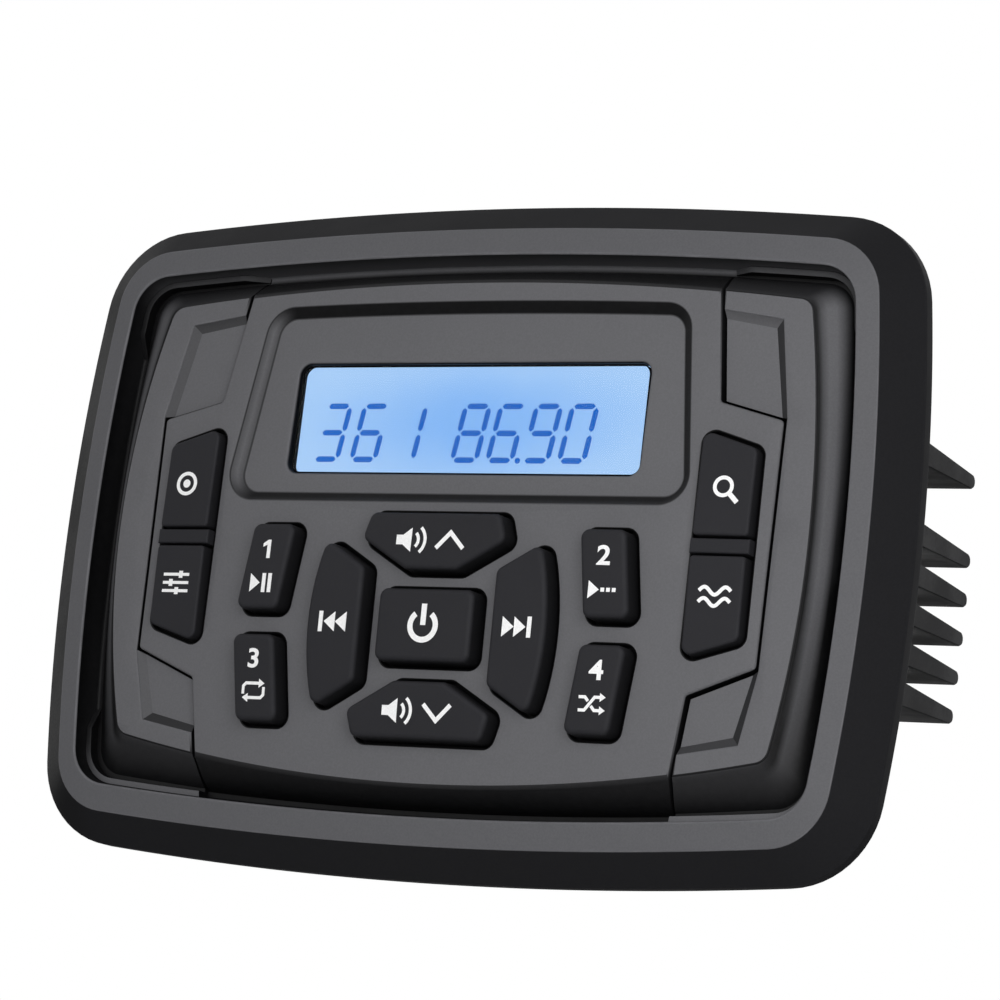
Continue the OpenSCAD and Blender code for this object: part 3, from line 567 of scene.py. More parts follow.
def new_group(name, outputs, **inputs):
    """A group that takes a place and some numbers, and gives numbers."""
    tree = bpy.data.node_groups.new(name, "ShaderNodeTree")
    tree.interface.new_socket("Where", in_out="INPUT", socket_type="NodeSocketVector")
    for label, value in inputs.items():
        socket = tree.interface.new_socket(label, in_out="INPUT", socket_type="NodeSocketFloat")
        socket.default_value = value
    for label in outputs:
        tree.interface.new_socket(label, in_out="OUTPUT", socket_type="NodeSocketFloat")
    return tree, tree.nodes.new("NodeGroupInput").outputs, tree.nodes.new("NodeGroupOutput").inputs


def noise(tree, where, scale, detail=3.0, rough=0.55):
    made = node(tree, "ShaderNodeTexNoise", Vector=where, Scale=scale, Detail=detail, Roughness=rough)
    return made.outputs["Fac"]


def math_node(tree, operation, a, b, clamp=False):
    made = tree.nodes.new("ShaderNodeMath")
    made.operation = operation
    made.use_clamp = clamp
    feed(tree, a, made.inputs[0])
    feed(tree, b, made.inputs[1])
    return made.outputs[0]


def weighted(tree, a, share_a, b, share_b):
    """Two values added, each times its share."""
    parts = [math_node(tree, "MULTIPLY", value, share) for value, share in ((a, share_a), (b, share_b))]
    return math_node(tree, "ADD", *parts)


def ramp(tree, value, low, high, to_low=0.0, to_high=1.0):
    made = node(tree, "ShaderNodeMapRange", Value=value, From_Min=low, From_Max=high,
                To_Min=to_low, To_Max=to_high)
    made.interpolation_type = "SMOOTHSTEP"
    return made.outputs["Result"]


def carried(tree, name):
    """A value that the mesh carries."""
    made = tree.nodes.new("ShaderNodeAttribute")
    made.attribute_name = name
    return made.outputs["Fac"]


def moulded_grain():
    """The fine spark-eroded texture of a mould: small soft pits with a broad unevenness."""
    tree, given, out = new_group("moulded_grain", ("Height", "Spots"), Scale=2600.0)
    fine = noise(tree, given["Where"], given["Scale"], 2.0, 0.6)
    cells = node(tree, "ShaderNodeTexVoronoi", Vector=given["Where"], Scale=given["Scale"])
    tree.links.new(weighted(tree, fine, 0.7, cells.outputs["Distance"], 0.4), out["Height"])
    tree.links.new(ramp(tree, fine, 0.3, 0.7), out["Spots"])
    return tree


def handling_marks():
    """Broad soft clouds, where hands and cloths have changed the sheen."""
    tree, given, out = new_group("handling_marks", ("Clouds",), Scale=45.0)
    broad = noise(tree, given["Where"], given["Scale"], 4.0, 0.6)
    tree.links.new(ramp(tree, broad, 0.3, 0.7), out["Clouds"])
    return tree


def painted_shade_places():
    """Painted shade: where the colour is darkened towards a dark tone, from the painted shade value that the
    mesh carries.
    """
    tree, given, out = new_group("painted_shade_places", ("Mask",))
    uneven = ramp(tree, noise(tree, given["Where"], 900.0), 0.3, 0.7, 0.992, 1.008)
    tree.links.new(math_node(tree, "MULTIPLY", carried(tree, "painted_shade"), uneven, True), out["Mask"])
    return tree


def edge_wear_and_highlight():
    """Lighter spots along the rounded edges, partly rubbed wear and partly painted highlight, from the value
    that the mesh carries.
    """
    tree, given, out = new_group("edge_wear_and_highlight", ("Mask",), Amount=0.5)
    patchy = ramp(tree, noise(tree, given["Where"], 210.0, 5.0, 0.7), 0.36, 0.66, 0.25, 1.0)
    mask = math_node(tree, "MULTIPLY", carried(tree, "wear_and_highlight"), patchy)
    tree.links.new(math_node(tree, "MULTIPLY", mask, given["Amount"], True), out["Mask"])
    return tree


def scaled(tree, where, *factors):
    """A place with its axes multiplied."""
    made = tree.nodes.new("ShaderNodeVectorMath")
    made.operation = "MULTIPLY"
    feed(tree, where, made.inputs[0])
    feed(tree, factors, made.inputs[1])
    return made.outputs["Vector"]


def brushed_lines():
    """Fine drawn lines along X, as on extruded or rolled metal."""
    tree, given, out = new_group("brushed_lines", ("Lines",), Scale=1500.0)
    drawn = noise(tree, scaled(tree, given["Where"], 0.02, 1.0, 1.0), given["Scale"], 2.0)
    tree.links.new(drawn, out["Lines"])
    return tree


GRAIN, MARKS, WEAR_AND_HIGHLIGHT = moulded_grain(), handling_marks(), edge_wear_and_highlight()
PAINTED_SHADE, BRUSHED = painted_shade_places(), brushed_lines()


def linear(*colour):
    """A colour as it is seen on a screen, 0 to 255, in the shader's own scale."""
    values = [c / 255 / 12.92 if c <= 10.3 else ((c / 255 + 0.055) / 1.055) ** 2.4 for c in colour]
    return (*values, 1.0)


def shifted(colour, factor):
    return tuple(min(1.0, c * factor) for c in colour[:3]) + (1.0,)


class Finish:
    """A material with its shader and its place input."""

    def __init__(self, name):
        self.material = bpy.data.materials.new(name)
        self.material.use_nodes = True
        self.tree = self.material.node_tree
        self.tree.nodes.clear()
        self.shader = self.tree.nodes.new("ShaderNodeBsdfPrincipled")
        node(self.tree, "ShaderNodeOutputMaterial", Surface=self.shader.outputs[0])
        self.where = self.tree.nodes.new("ShaderNodeTexCoord").outputs["Object"]

    def group(self, tree, **values):
        made = self.tree.nodes.new("ShaderNodeGroup")
        made.node_tree = tree
        return fed(self.tree, made, Where=self.where, **values).outputs

    def mix(self, fac, a, b):
        made = self.tree.nodes.new("ShaderNodeMix")
        made.data_type = "RGBA"
        for i, value in ((0, fac), (6, a), (7, b)):
            feed(self.tree, value, made.inputs[i])
        return made.outputs[2]

    def set(self, **values):
        fed(self.tree, self.shader, **values)

    def bump(self, height, strength, distance):
        made = node(self.tree, "ShaderNodeBump", Height=height, Strength=strength, Distance=distance)
        self.set(Normal=made.outputs["Normal"])


def moulded(name, colour, rough, specular=0.3, scale=2600.0, depth=0.00002, wear_and_highlight=0.4, lift=1.7, shade_colour=None):
    """Painted or moulded plastic and rubber with grain, handling marks, edges lightened as wear and painted
    highlight, and painted shade.
    """
    f = Finish(name)
    grain = f.group(GRAIN, Scale=scale)
    clouds = f.group(MARKS, Scale=45.0)["Clouds"]
    mask = f.group(WEAR_AND_HIGHLIGHT, Amount=wear_and_highlight)["Mask"]
    speckled = f.mix(grain["Spots"], shifted(colour, 0.95), shifted(colour, 1.05))
    tone = f.mix(mask, speckled, shifted(colour, lift))
    # The mesh's painted shade darkens the colour towards the given dark tone.
    if shade_colour:
        tone = f.mix(f.group(PAINTED_SHADE)["Mask"], tone, shade_colour)
    spread = weighted(f.tree, clouds, 0.6, grain["Spots"], 0.4)
    sheen = ramp(f.tree, spread, 0.0, 1.0, rough - 0.05, rough + 0.06)
    rubbed = math_node(f.tree, "SUBTRACT", sheen, math_node(f.tree, "MULTIPLY", mask, 0.15), True)
    f.set(Base_Color=tone, Roughness=rubbed, Specular_IOR_Level=specular)
    f.bump(grain["Height"], 0.25, depth)
    return f.material


def metal(name, colour, rough, metallic=1.0, specular=0.4):
    """Drawn or anodised metal with fine lines, uneven sheen, and edges lightened as wear and painted
    highlight.
    """
    f = Finish(name)
    lines = f.group(BRUSHED, Scale=1500.0)["Lines"]
    clouds = f.group(MARKS, Scale=70.0)["Clouds"]
    mask = f.group(WEAR_AND_HIGHLIGHT, Amount=0.3)["Mask"]
    drawn = f.mix(lines, shifted(colour, 0.9), shifted(colour, 1.1))
    spread = weighted(f.tree, lines, 0.5, clouds, 0.5)
    f.set(Base_Color=f.mix(mask, drawn, shifted(colour, 1.8)), Metallic=metallic, Specular_IOR_Level=specular,
          Roughness=ramp(f.tree, spread, 0.2, 0.8, rough - 0.06, rough + 0.08))
    f.bump(lines, 0.3, 0.000008)
    return f.material


def circuit(name):
    """Green solder mask over copper runs, with bright pads."""
    f = Finish(name)
    turn = node(f.tree, "ShaderNodeMapping", Vector=f.where, Rotation=(math.pi / 2, 0.0, 0.0))
    brick = node(f.tree, "ShaderNodeTexBrick", Vector=turn.outputs["Vector"], Scale=320.0, Mortar_Size=0.03)
    clouds = f.group(MARKS, Scale=60.0)["Clouds"]
    f.set(Base_Color=f.mix(brick.outputs["Fac"], linear(22, 78, 48), linear(36, 104, 62)),
          Roughness=ramp(f.tree, clouds, 0.0, 1.0, 0.32, 0.46))
    f.bump(brick.outputs["Fac"], 0.4, 0.00003)
    return f.material


def glowing(name, middle, edge, strength):
    """The lit face of the display: brighter in the middle, with the faint bands of its light guide."""
    f = Finish(name)
    centred = node(f.tree, "ShaderNodeMapping", Vector=f.where, Location=(0.0, 0.0, -0.0193))
    far = f.tree.nodes.new("ShaderNodeVectorMath")
    far.operation = "LENGTH"
    feed(f.tree, scaled(f.tree, centred.outputs["Vector"], 1 / 0.035, 0.0, 1 / 0.0115), far.inputs[0])
    clouds = f.group(MARKS, Scale=60.0)["Clouds"]
    ring = math_node(f.tree, "ADD", far.outputs["Value"], math_node(f.tree, "MULTIPLY", clouds, 0.12))
    f.set(Base_Color=(0.002, 0.003, 0.005, 1.0), Specular_IOR_Level=0.05, Emission_Strength=strength,
          Emission_Color=f.mix(ramp(f.tree, ring, 0.15, 1.25), middle, edge),
          Roughness=ramp(f.tree, clouds, 0.0, 1.0, 0.35, 0.5))
    return f.material


def clear(name):
    """Clear moulded plastic with the faintest unevenness."""
    f = Finish(name)
    clouds = f.group(MARKS, Scale=90.0)["Clouds"]
    f.set(Base_Color=f.mix(clouds, (0.97, 0.985, 1.0, 1.0), (1.0, 1.0, 1.0, 1.0)),
          Roughness=ramp(f.tree, clouds, 0.0, 1.0, 0.0, 0.008), Transmission_Weight=1.0, IOR=1.12)
    return f.material


# BLACK, and the last colour given to some finishes, is the dark tone of the painted shade that the meshes
# carry.
BLACK = linear(8, 8, 9)
PLASTIC = moulded("black_plastic", linear(38, 38, 40), 0.45, 0.02, 2400.0, 0.000015, 0.35, 1.5, BLACK)
# This darker copy of the black plastic is painted shade on the groove's floor.
SHADE = moulded("groove_painted_shade", linear(5, 5, 5), 0.7, 0.02, 2400.0, 0.000015, 0.2, 1.6)
GRAPHITE = moulded("graphite_paint", linear(97, 97, 100), 0.5, 0.12, 3000.0, 0.000008, 0.3, 1.35, BLACK)
# The rim paint's strong edge lightening paints a highlight along its rounded edges.
RIM = moulded("rim_paint", linear(92, 92, 95), 0.5, 0.1, 3000.0, 0.000008, 0.7, 1.5, BLACK)
RUBBER = moulded("key_rubber", linear(40, 40, 43), 0.62, 0.1, 3400.0, 0.000012, 0.4, 1.4, linear(11, 11, 12))
PRINT = moulded("sign_print", linear(246, 246, 246), 0.5, 0.2, 4200.0, 0.000004, 0.0, 1.0)
FRAME = moulded("lens_border", linear(13, 13, 14), 0.6, 0.03, 3000.0, 0.000006, 0.0, 1.0)
SEAL = moulded("seal_rubber", linear(24, 24, 25), 0.75, 0.15, 2000.0, 0.00002, 0.2, 1.4)
PAINT = moulded("chassis_paint", linear(38, 38, 40), 0.55, 0.25, 1500.0, 0.00002, 0.4, 1.8)
ALUMINIUM = metal("black_aluminium", linear(30, 30, 32), 0.55, 0.0, 0.12)
STEEL = metal("steel", linear(176, 178, 182), 0.32)
TINNED = metal("tinned_steel", linear(190, 192, 194), 0.38)
BRASS = metal("contact_brass", linear(196, 168, 104), 0.34)
BLOCK = moulded("component_plastic", linear(30, 30, 31), 0.55, 0.3, 1800.0, 0.00002)
SLEEVE = moulded("capacitor_sleeve", linear(44, 62, 102), 0.4, 0.35, 1200.0, 0.00001)
GUIDE = moulded("light_guide", linear(226, 232, 240), 0.3, 0.4, 1500.0, 0.00001)
CIRCUIT = circuit("circuit_board")
GLOW = glowing("display_glass", linear(134, 187, 250), linear(172, 211, 254), 0.92)
SEGMENT = glowing("display_segments", linear(4, 92, 190), linear(8, 96, 194), 1.0)
CLEAR = clear("clear_lens")


# Bezel: upright edge, bevel, painted rim, groove wall and floor, with the gasket's rebate behind

def make_bezel():
    s = Shell()
    path = profile([(7.0, 0), (7.0, 1.2), (2.0, 1.2), (2.0, 0), (0, 0), (0, 1.0)], [0, 0, 0, 0.4])
    first, _ = s.sweep(lambda d: bezel_at(d).outline(), path)
    path = profile([(0, 1.0), (0, EDGE), (BEVEL_END, RIM_OUT), (10.4, RIM_IN), (10.9, FLOOR), (12.0, FLOOR)],
                   [0.7, 0.5, 0.4, -0.5])
    edge = max(i for i, p in enumerate(path) if p[0] < BEVEL_END + 0.05 and p[1] > 7.5)
    lip = min(i for i, p in enumerate(path) if p[0] > 10.3)
    foot = min(i for i, p in enumerate(path) if i > lip and p[1] < FLOOR + 0.6)
    finishes = {i: 1 for i in range(edge - 1, len(path))}
    # Painted light and shade by side: left bevel darker, a dark line where bevel meets rim, the groove's wall
    # dark, its foot lit at the top as a painted highlight.
    bevel, border = by_side(0.0, 0.0, 0.3, 0.0), by_side(0.2, 0.2, 0.95, 0.2)
    wall, fillet = by_side(1.0, 0.88, 1.0, 1.0), by_side(1.0, 0.25, 0.92, 1.0)

    def front_painted_shade(k, side):
        if k < edge:
            return bevel(side) if k < edge - 2 else border(side)
        if k <= lip + 1:
            return 0.0
        return wall(side) if k < foot else fillet(side) if k < len(path) - 1 else 1.0

    _, last = s.sweep(lambda d: bezel_front_at(d).outline(), path, finishes, front_painted_shade)
    # Finish 2 is the darker copy of the black plastic: painted shade on the groove's floor and in the holes.
    s.finish = 2
    soft = 0.4
    wide = MOUNT_HOLE + soft
    path = ((wide, FLOOR), (MOUNT_HOLE, FLOOR - soft), (MOUNT_HOLE, soft), (wide, 0))
    holes = [s.turned(x, z, path) for x, z in MOUNTS]
    path = ((COUNTERSINK, 0), (SCREW_HOLE, 1.8), (SCREW_HOLE, FLOOR))
    holes += [s.turned(x, z, path)[::-1] for x, z in PANEL_SCREWS]
    path = [(r, FLOOR - h) for r, h in path]
    holes += [s.turned(x, z, path) for x, z in CHASSIS_SCREWS]
    window = [(-59, -18), (59, -18), (59, 17), (34.65, 17),
              (34.65, 30.45), (-34.65, 30.45), (-34.65, 17), (-59, 17)]
    top = s.ring(window, FLOOR)
    low = s.ring(window[:4] + window[6:], 0)
    ledge = s.ring(window[3:7], 1.75)
    for i, k in ((0, 0), (1, 1), (7, 5)):
        s.face((top[i], top[(i + 1) % 8], low[(k + 1) % 6], low[k]))
    for i in range(3):
        s.face((top[i + 3], top[i + 4], ledge[i + 1], ledge[i]))
    s.face((ledge[0], ledge[3], low[4], low[3]))
    s.face((top[2], top[3], ledge[0], low[3], low[2]))
    s.face((top[6], top[7], low[5], low[4], ledge[3]))
    s.face(ledge)
    s.fill(last, top, *[front for front, rear in holes])
    s.finish = 0
    s.fill(first, low, *[rear for front, rear in holes])
    place(s.piece("bezel_moulding", PLASTIC, RIM, SHADE), "black_plastic", "bezel")


# Front panel: raised plate between the seams, with the display recess and the key openings

def panel_wall_shade(level, z):
    """Painted shade on the panel's walls: wholly dark deep in the seams, and nearly so at the top and bottom.
    """
    if -38.2 < z < 40.2:
        return 1.0 if level < 0.6 else 0.0
    return 1.0 - 0.14 * level


# Painted shade on the recess's bevel from its outer to its inner edge, at the right, top, left and bottom
RECESS_SHADE = [by_side(*row) for row in (
    (0.0, 0.0, 0.0, 0.0), (0.6, 0.6, 0.8, 0.35), (0.9, 0.95, 0.95, 0.65),
    (0.94, 0.97, 0.4, 0.85), (0.96, 0.97, 0.05, 0.97), (0.96, 0.97, 0.4, 0.97),
    (0.94, 0.95, 0.85, 0.85), (0.6, 0.6, 0.75, 0.5), (0.0, 0.0, 0.0, 0.0))]


def make_panel():
    s = Shell(domed=True)
    walls = [(-3.8, FLOOR), (-3.4, 4.8), (-2.7, 6.2), (-1.8, 7.6), (-0.8, 8.9), (-0.35, 9.5)]
    lines = [(panel_outline(d, SEAM_GAP), h, 0.0) for d, h in walls]
    for d, rise in ((0.03, 0.15), (0.15, 0.33), (0.32, 0.45), (0.5, 0.5)):
        outline = panel_outline(-0.35 + d * 1.6, SEAM_GAP + d * 0.8)
        lines.append((outline, 9.5 + rise, math.sin(math.pi * rise / 0.5)))
    rows = [s.ring(*line) for line in lines]
    fades = [[panel_wall_shade(k / (len(lines) - 1), z) for x, z in lines[k][0]] for k in range(len(lines))]
    for i in range(len(rows) - 1):
        s.band(rows[i], rows[i + 1], painted_shade=fades[i:i + 2])
    path = profile([(-1.2, PANEL), (0, PANEL), (0, PANEL_BACK)], [0.35])[1:]
    openings = []
    for opening in OPENINGS:
        # The openings' rounded edges and walls are painted dark as the shade in the gaps round the keys.
        openings.append(s.sweep(lambda d: softened(opening, 2, d), path, painted_shade=lambda k, side: 1.0))
    path = profile([(-1.2, PANEL), (0, PANEL), (0.85, (PANEL + RECESS) / 2), (1.7, RECESS), (3.2, RECESS)],
                   [0.5, 0, -0.6])[1:-1]
    recess, floor = s.sweep(recess_outline, path, painted_shade=lambda k, side: RECESS_SHADE[k](side))
    s.fill(rows[-1], *[front for front, rear in openings], recess, level=PANEL)
    path = profile([(-1.2, RECESS), (0, RECESS), (0, RECESS_BACK)], [0.6])[1:]
    # The window's wall is painted dark as shade below its rounded edge.
    window, back = s.sweep(window_outline, path, painted_shade=lambda k, side: min(1.0, max(0, k - 2) / 2))
    s.fill(floor, window, level=RECESS)
    pan, pan_foot = s.sweep(recess_outline, [(0.57, RECESS_BACK, 0), (0.57, PANEL_BACK, 0)])
    s.fill(pan, back)
    inner, inner_back = s.skin([s.ring(panel_outline(2.0, 2.25), h) for h in (FLOOR, PANEL_BACK)])
    s.fill(rows[0], inner)
    s.fill(inner_back, pan_foot, *[rear for front, rear in openings])
    for x, z in PANEL_SCREWS:
        s.tube(x, z, SCREW_BORE, 2.5, BOARD, RECESS_BACK + 0.3 if z > 0 else PANEL_BACK + 0.3)
    place(s.piece("front_plate", GRAPHITE), "graphite_paint", "front_panel")


# Trims: clip-on covers beside the panel, with pry pockets and clip feet

# Painted shade on the lips beside the short and long edges, and on the pocket bevels at the end and the side
LIP_SHADE = {(1, 1): (0.85, 0.7), (1, -1): (0.7, 0.0), (-1, 1): (0.95, 0.8), (-1, -1): (0.95, 0.15)}
POCKET_SHADE = {(1, 1): (0.35, 0.8), (1, -1): (0.65, 0.8), (-1, 1): (0.65, 0.4), (-1, -1): (0.8, 0.25)}


def make_foot(s, sign):
    """A clip foot along the groove's floor round one corner, with its lip beside the rim."""
    seam = seam_right(-SEAM_GAP)

    def run(bulge):
        far = meet(seam[4], seam[5], bulge, 1) if sign > 0 else meet(seam[1], seam[0], bulge, -1)
        start = math.asin(31 / bulge.short_r)
        line = bulge.quarter(start, math.acos(far[0] / bulge.long_r), (6, 10, 14))
        return [(x, sign * z) for x, z in line]

    lip = ((0.5, FLOOR, 0), (0.5, 5.75, 0), (0.58, 5.95, 1), (0.7, 6.0, 0),
           (1.4, 6.0, 0), (1.52, 5.95, 1), (1.6, 5.75, 0), (1.6, 4.0, 0))
    section = [(rim_at(d), h, wear_and_highlight) for d, h, wear_and_highlight in lip]
    section += [(island_at(-1.2, sign), h, 0) for h in (4.0, FLOOR)]
    rows = []
    s.domed = False
    for bulge, h, wear_and_highlight in section:
        line = run(bulge)
        last = len(line) - 1
        rise = [min(1.0, 0.1 + 0.3 * k, 0.1 + 0.3 * (last - k) if sign > 0 else 1.0) for k in range(last + 1)]
        rows.append([s.point(x, FLOOR + (h - FLOOR) * up, z, wear_and_highlight) for (x, z), up in zip(line, rise)])
    # Painted shade: the lips darker at the upper corners under the rim, the foot's walls and ends dark.
    for i, (a, b) in enumerate(zip(rows, rows[1:] + rows[:1])):
        side, end = LIP_SHADE[s.flip, sign] if 1 < i < 5 else (1.0, 1.0)
        values = [side + (end - side) * min(1.0, max(0.0, (k / last - 0.15) / 0.4)) for k in range(last + 1)]
        s.band(a, b, closed=False, painted_shade=(values, values))
    s.face([row[0] for row in rows], 1.0)
    s.face([row[-1] for row in rows], 1.0)


def side_wall_light_and_shade(depth, side, z):
    """Painted light and shade on a trim's outer wall, from the land at depth 0 to the groove's floor at depth
    1: dark below the land, a lit band part way down, dark at the foot, lower down and at the ends.
    """
    up = min(1.0, max(0.0, z / 30))
    beside = (1.0, 0.95, 0.4, 0.0, 0.15 * (1 - up), 0.9 - 0.45 * up, 1.0, 1.0)[round(depth * 7)]
    beside = min(1.0, beside + max(0.0, -4.0 - z) / 45)
    ends = 0.75 + 0.25 * depth
    weight = max(0.0, side[0]) ** 2
    return beside * weight + ends * (1.0 - weight)


def make_trim(name, flip, node_name):
    s = Shell(flip, domed=True)
    seam = seam_right(-SEAM_GAP)
    s5, s4, s3, s2 = seam[1:5]
    edge = trim_edge(0)
    n = len(edge)
    land = edge + [seam_point(s2, seam[5], z=37.3), (55.5, 35.7), s3,
                   s4, (55.3, -33.1), seam_point(s5, seam[0], z=-35.0)]
    soft = 0.35
    steps = [(0.0, soft), (0.03, soft * 0.6), (0.12, soft * 0.25), (soft * 0.8, 0.0)]
    rows = []
    for i, (d, drop) in enumerate(steps):
        rows.append(s.ring(inset(land, d), PANEL - drop, math.sin(math.pi * i / 3)))
    # Painted shade on the land's rounded outer edge; none on the seam side.
    rim = [0.9] * n + [0.0] * 6
    for a, b in zip(rows, rows[1:]):
        s.band(a, b, painted_shade=(rim, rim))
    s.fill(rows[-1], level=PANEL)
    levels = ((-0.2, 9.5), (-0.6, 8.9), (-1.2, 8.1), (-2.0, 7.1), (-2.8, 6.0), (-3.5, 4.8), (-3.95, FLOOR))
    walls = [rows[0][:n]] + [s.ring(trim_edge(d), h) for d, h in levels]
    shades = [[side_wall_light_and_shade(k / len(levels), side, z) for side, (x, z) in zip(outward(land), edge)]
              for k in range(len(walls))]
    for i in range(len(levels)):
        s.band(walls[i], walls[i + 1], closed=False, painted_shade=shades[i:i + 2])
    lows = []
    pockets = ((1, -1, s2, s3, seam[5], 36.0, (54.2, 34.4), rows[0][n:n + 3]),
               (-1, 0, s5, s4, seam[0], -33.7, (54.0, -31.8), rows[0][:n + 2:-1]))
    for sign, at, bend, outer, far, z, kink, (top_a, top_k, top_s) in pockets:
        line = [seam_point(bend, far, z=z), kink, seam_point(bend, outer, x=outer[0] - 1.3), bend]
        deep_a, deep_k, deep_s, deep_bend = s.ring(line, PANEL - 1.5)
        low_bend, low_s = s.ring([bend, outer], FLOOR)
        # Painted shade on the pocket's bevels, darker where they face away from the light, and fully on its
        # walls.
        end, side = POCKET_SHADE[flip, sign]
        s.face((top_a, top_k, deep_k, deep_a), end)
        s.face((top_k, top_s, deep_s, deep_k), side)
        s.face((deep_a, deep_k, deep_s, deep_bend))
        s.face([row[at] for row in walls] + [low_bend, deep_bend, deep_a, top_a], 1.0)
        s.face((deep_bend, deep_s, top_s, low_s, low_bend), 1.0)
        lows.append((low_bend, low_s, top_s))
    (low_2, low_3, top_3), (low_5, low_4, top_4) = lows
    # The seam's wall between the pockets is painted dark as shade.
    s.face((top_3, top_4, low_4, low_3), 1.0)
    inner_line = trim_edge(2.0, -2.25) + seam_right(-2.25)[4:0:-1]
    inner, inner_top = s.skin([s.ring(inner_line, h) for h in (FLOOR, PANEL - 3)])
    s.fill(walls[-1] + [low_2, low_3, low_4, low_5], inner)
    s.fill(inner_top)
    make_foot(s, 1)
    make_foot(s, -1)
    place(s.piece(name, GRAPHITE), "graphite_paint", node_name)


# Keys: rubber caps with a flange behind the panel, and the mat whose webs show between the side keys

def key_top(name):
    return SIDE_TOP if at_side(name) else KEY_TOP


def make_key(name, outline, radii):
    s = Shell(domed=True)
    top = key_top(name)
    path = profile([(-0.3, FLANGE_BACK), (-0.3, FLANGE), (0.4, FLANGE), (0.55, top), (3.0, top)],
                   [0.15, 0, 0.9 if top == KEY_TOP else 0.5])[:-1]

    def at(d):
        line = softened(outline, radii, d)
        if name.endswith("upper"):
            return [(x, max(z, -0.5)) for x, z in line]
        if name.endswith("lower"):
            return [(x, min(z, -3.5)) for x, z in line]
        return line

    # Painted shade: the caps' sides darken below their top.
    def cap_side_shade(k, side):
        return min(1.0, max(0.0, (top - 0.15 - path[k][1]) / 1.2))

    first, last = s.sweep(at, path, painted_shade=cap_side_shade)
    s.fill(first)
    s.fill(last, level=top)
    place(s.piece("cap_" + name, RUBBER), "key_rubber", "key_" + name, body="key_" + name + "_body")


def make_mat():
    s = Shell(domed=True)
    seam = seam_right(2.4)
    end = meet(seam[1], seam[0], island_at(2.15, -1), -1)
    side = [(44.0, -24.0), (44.0, 4.45)]
    sheet = edge_run(island_at(2.15, -1), -end[0], end[0], -1, 30) + side + mirrored(side)
    holes = [softened(*shape, -0.6) for name, shape in KEYS.items() if not at_side(name)]
    s.prism(sheet, BOARD, PANEL_BACK, holes + [circle(x, z, 2.65) for x, z in PANEL_SCREWS[2:]])
    path = profile([(0, BOARD), (0, WEB_TOP), (1.2, WEB_TOP)], [0.35])[:-1]
    for sign in (-1, 1):
        web = rectangle(10.2, 2.4, sign * 50.0, -2.0)
        s.cap(s.sweep(lambda d: inset(web, d), path))
        s.prism(rectangle(1.4, 2.4, sign * 44.55, -2.0), BOARD, PANEL_BACK)
    place(s.piece("key_sheet", RUBBER), "key_rubber", "key_mat")


# Signs printed on the keys: lists of marks about the sign's own middle, each an outline with its holes

def stroke(points, width, closed=False):
    """A line of a given width as a mark, with a hole where it is closed."""
    sides = []
    for sign in (1, -1):
        row = []
        for i, p in enumerate(points):
            before = points[i - 1] if closed or i > 0 else None
            after = points[(i + 1) % len(points)] if closed or i < len(points) - 1 else None
            a = inward(before, p) if before else inward(p, after)
            b = inward(p, after) if after else a
            row.append(corner(p, a, b, sign * width / 2))
        sides.append(row)
    return (sides[1], sides[0]) if closed else (sides[1] + sides[0][::-1],)


def curve(cx, cz, r, start, end, steps, width):
    """A part of a circle between two angles in degrees."""
    return stroke(arc(cx, cz, r, math.radians(start), math.radians(end), steps), width)


def hoop(cx, cz, r):
    return stroke(circle(cx, cz, r, 50), 0.62, closed=True)


def bar(w, h, x, z=0.0):
    return (rectangle(w, h, x, z),)


def triangle(x, z, w, h, sign=1):
    points = [(x - sign * w / 2, z - h / 2), (x + sign * w / 2, z), (x - sign * w / 2, z + h / 2)]
    return (points[::sign],)


def chevron(sign):
    return [stroke([(-2.5, -1.25 * sign), (0, 1.35 * sign), (2.5, -1.25 * sign)], 0.72)]


def track_sign(sign):
    return [triangle(x * sign, 0, 2.1, 3.3, sign) for x in (-1.55, 0.6)] + [bar(0.75, 3.4, 2.25 * sign)]


def wave(z):
    turns = [i / 28 for i in range(29)]
    return stroke([(-2.7 + 5.4 * t, z + 0.62 * math.sin(math.tau * 1.5 * t)) for t in turns], 0.6)


POWER = [curve(0, -0.25, 2.35, 128, 412, 36, 0.95), bar(0.95, 3.5, 0, 1.55)]
SPEAKER = [([(-2.9, -0.8), (-1.7, -0.8), (-0.1, -2.0), (-0.1, 2.0), (-1.7, 0.8), (-2.9, 0.8)],),
           curve(-0.3, 0, 1.5, -48, 48, 10, 0.55), curve(-0.3, 0, 2.75, -48, 48, 14, 0.55)]
PLAY_PAUSE = [triangle(-1.1, 0, 1.9, 3.1), bar(0.7, 3.2, 0.6), bar(0.7, 3.2, 1.75)]
SCAN = [triangle(-1.2, 0, 1.9, 2.9)] + [bar(0.65, 0.65, x) for x in (0.35, 1.35, 2.35)]
TURN = [(1.1, 1.2), (-1.5, 1.2), (-2.0, 0.7), (-2.0, -0.6)]
LOOP = [stroke(TURN, 0.5), stroke([(-x, -z) for x, z in TURN], 0.5),
        triangle(1.55, 1.2, 1.1, 1.5), triangle(-1.55, -1.2, 1.1, 1.5, -1)]
MIXED = [stroke([(-2.3, -1.05), (-1.2, -1.05), (0.5, 1.05), (1.4, 1.05)], 0.5),
         stroke([(-2.3, 1.05), (-1.2, 1.05), (-0.65, 0.4)], 0.5),
         stroke([(-0.1, -0.35), (0.5, -1.05), (1.4, -1.05)], 0.5),
         triangle(1.9, 1.05, 1.0, 1.4), triangle(1.9, -1.05, 1.0, 1.4)]
PICK = [hoop(0, 0, 1.75), (circle(0, 0, 0.72, 20),)]
SLIDERS = [bar(5.2, 0.5, 0, z) for z in (1.4, 0.0, -1.4)]
SLIDERS += [bar(0.75, 1.2, x, z) for x, z in ((0.9, 1.4), (-1.0, 0.0), (0.3, -1.4))]
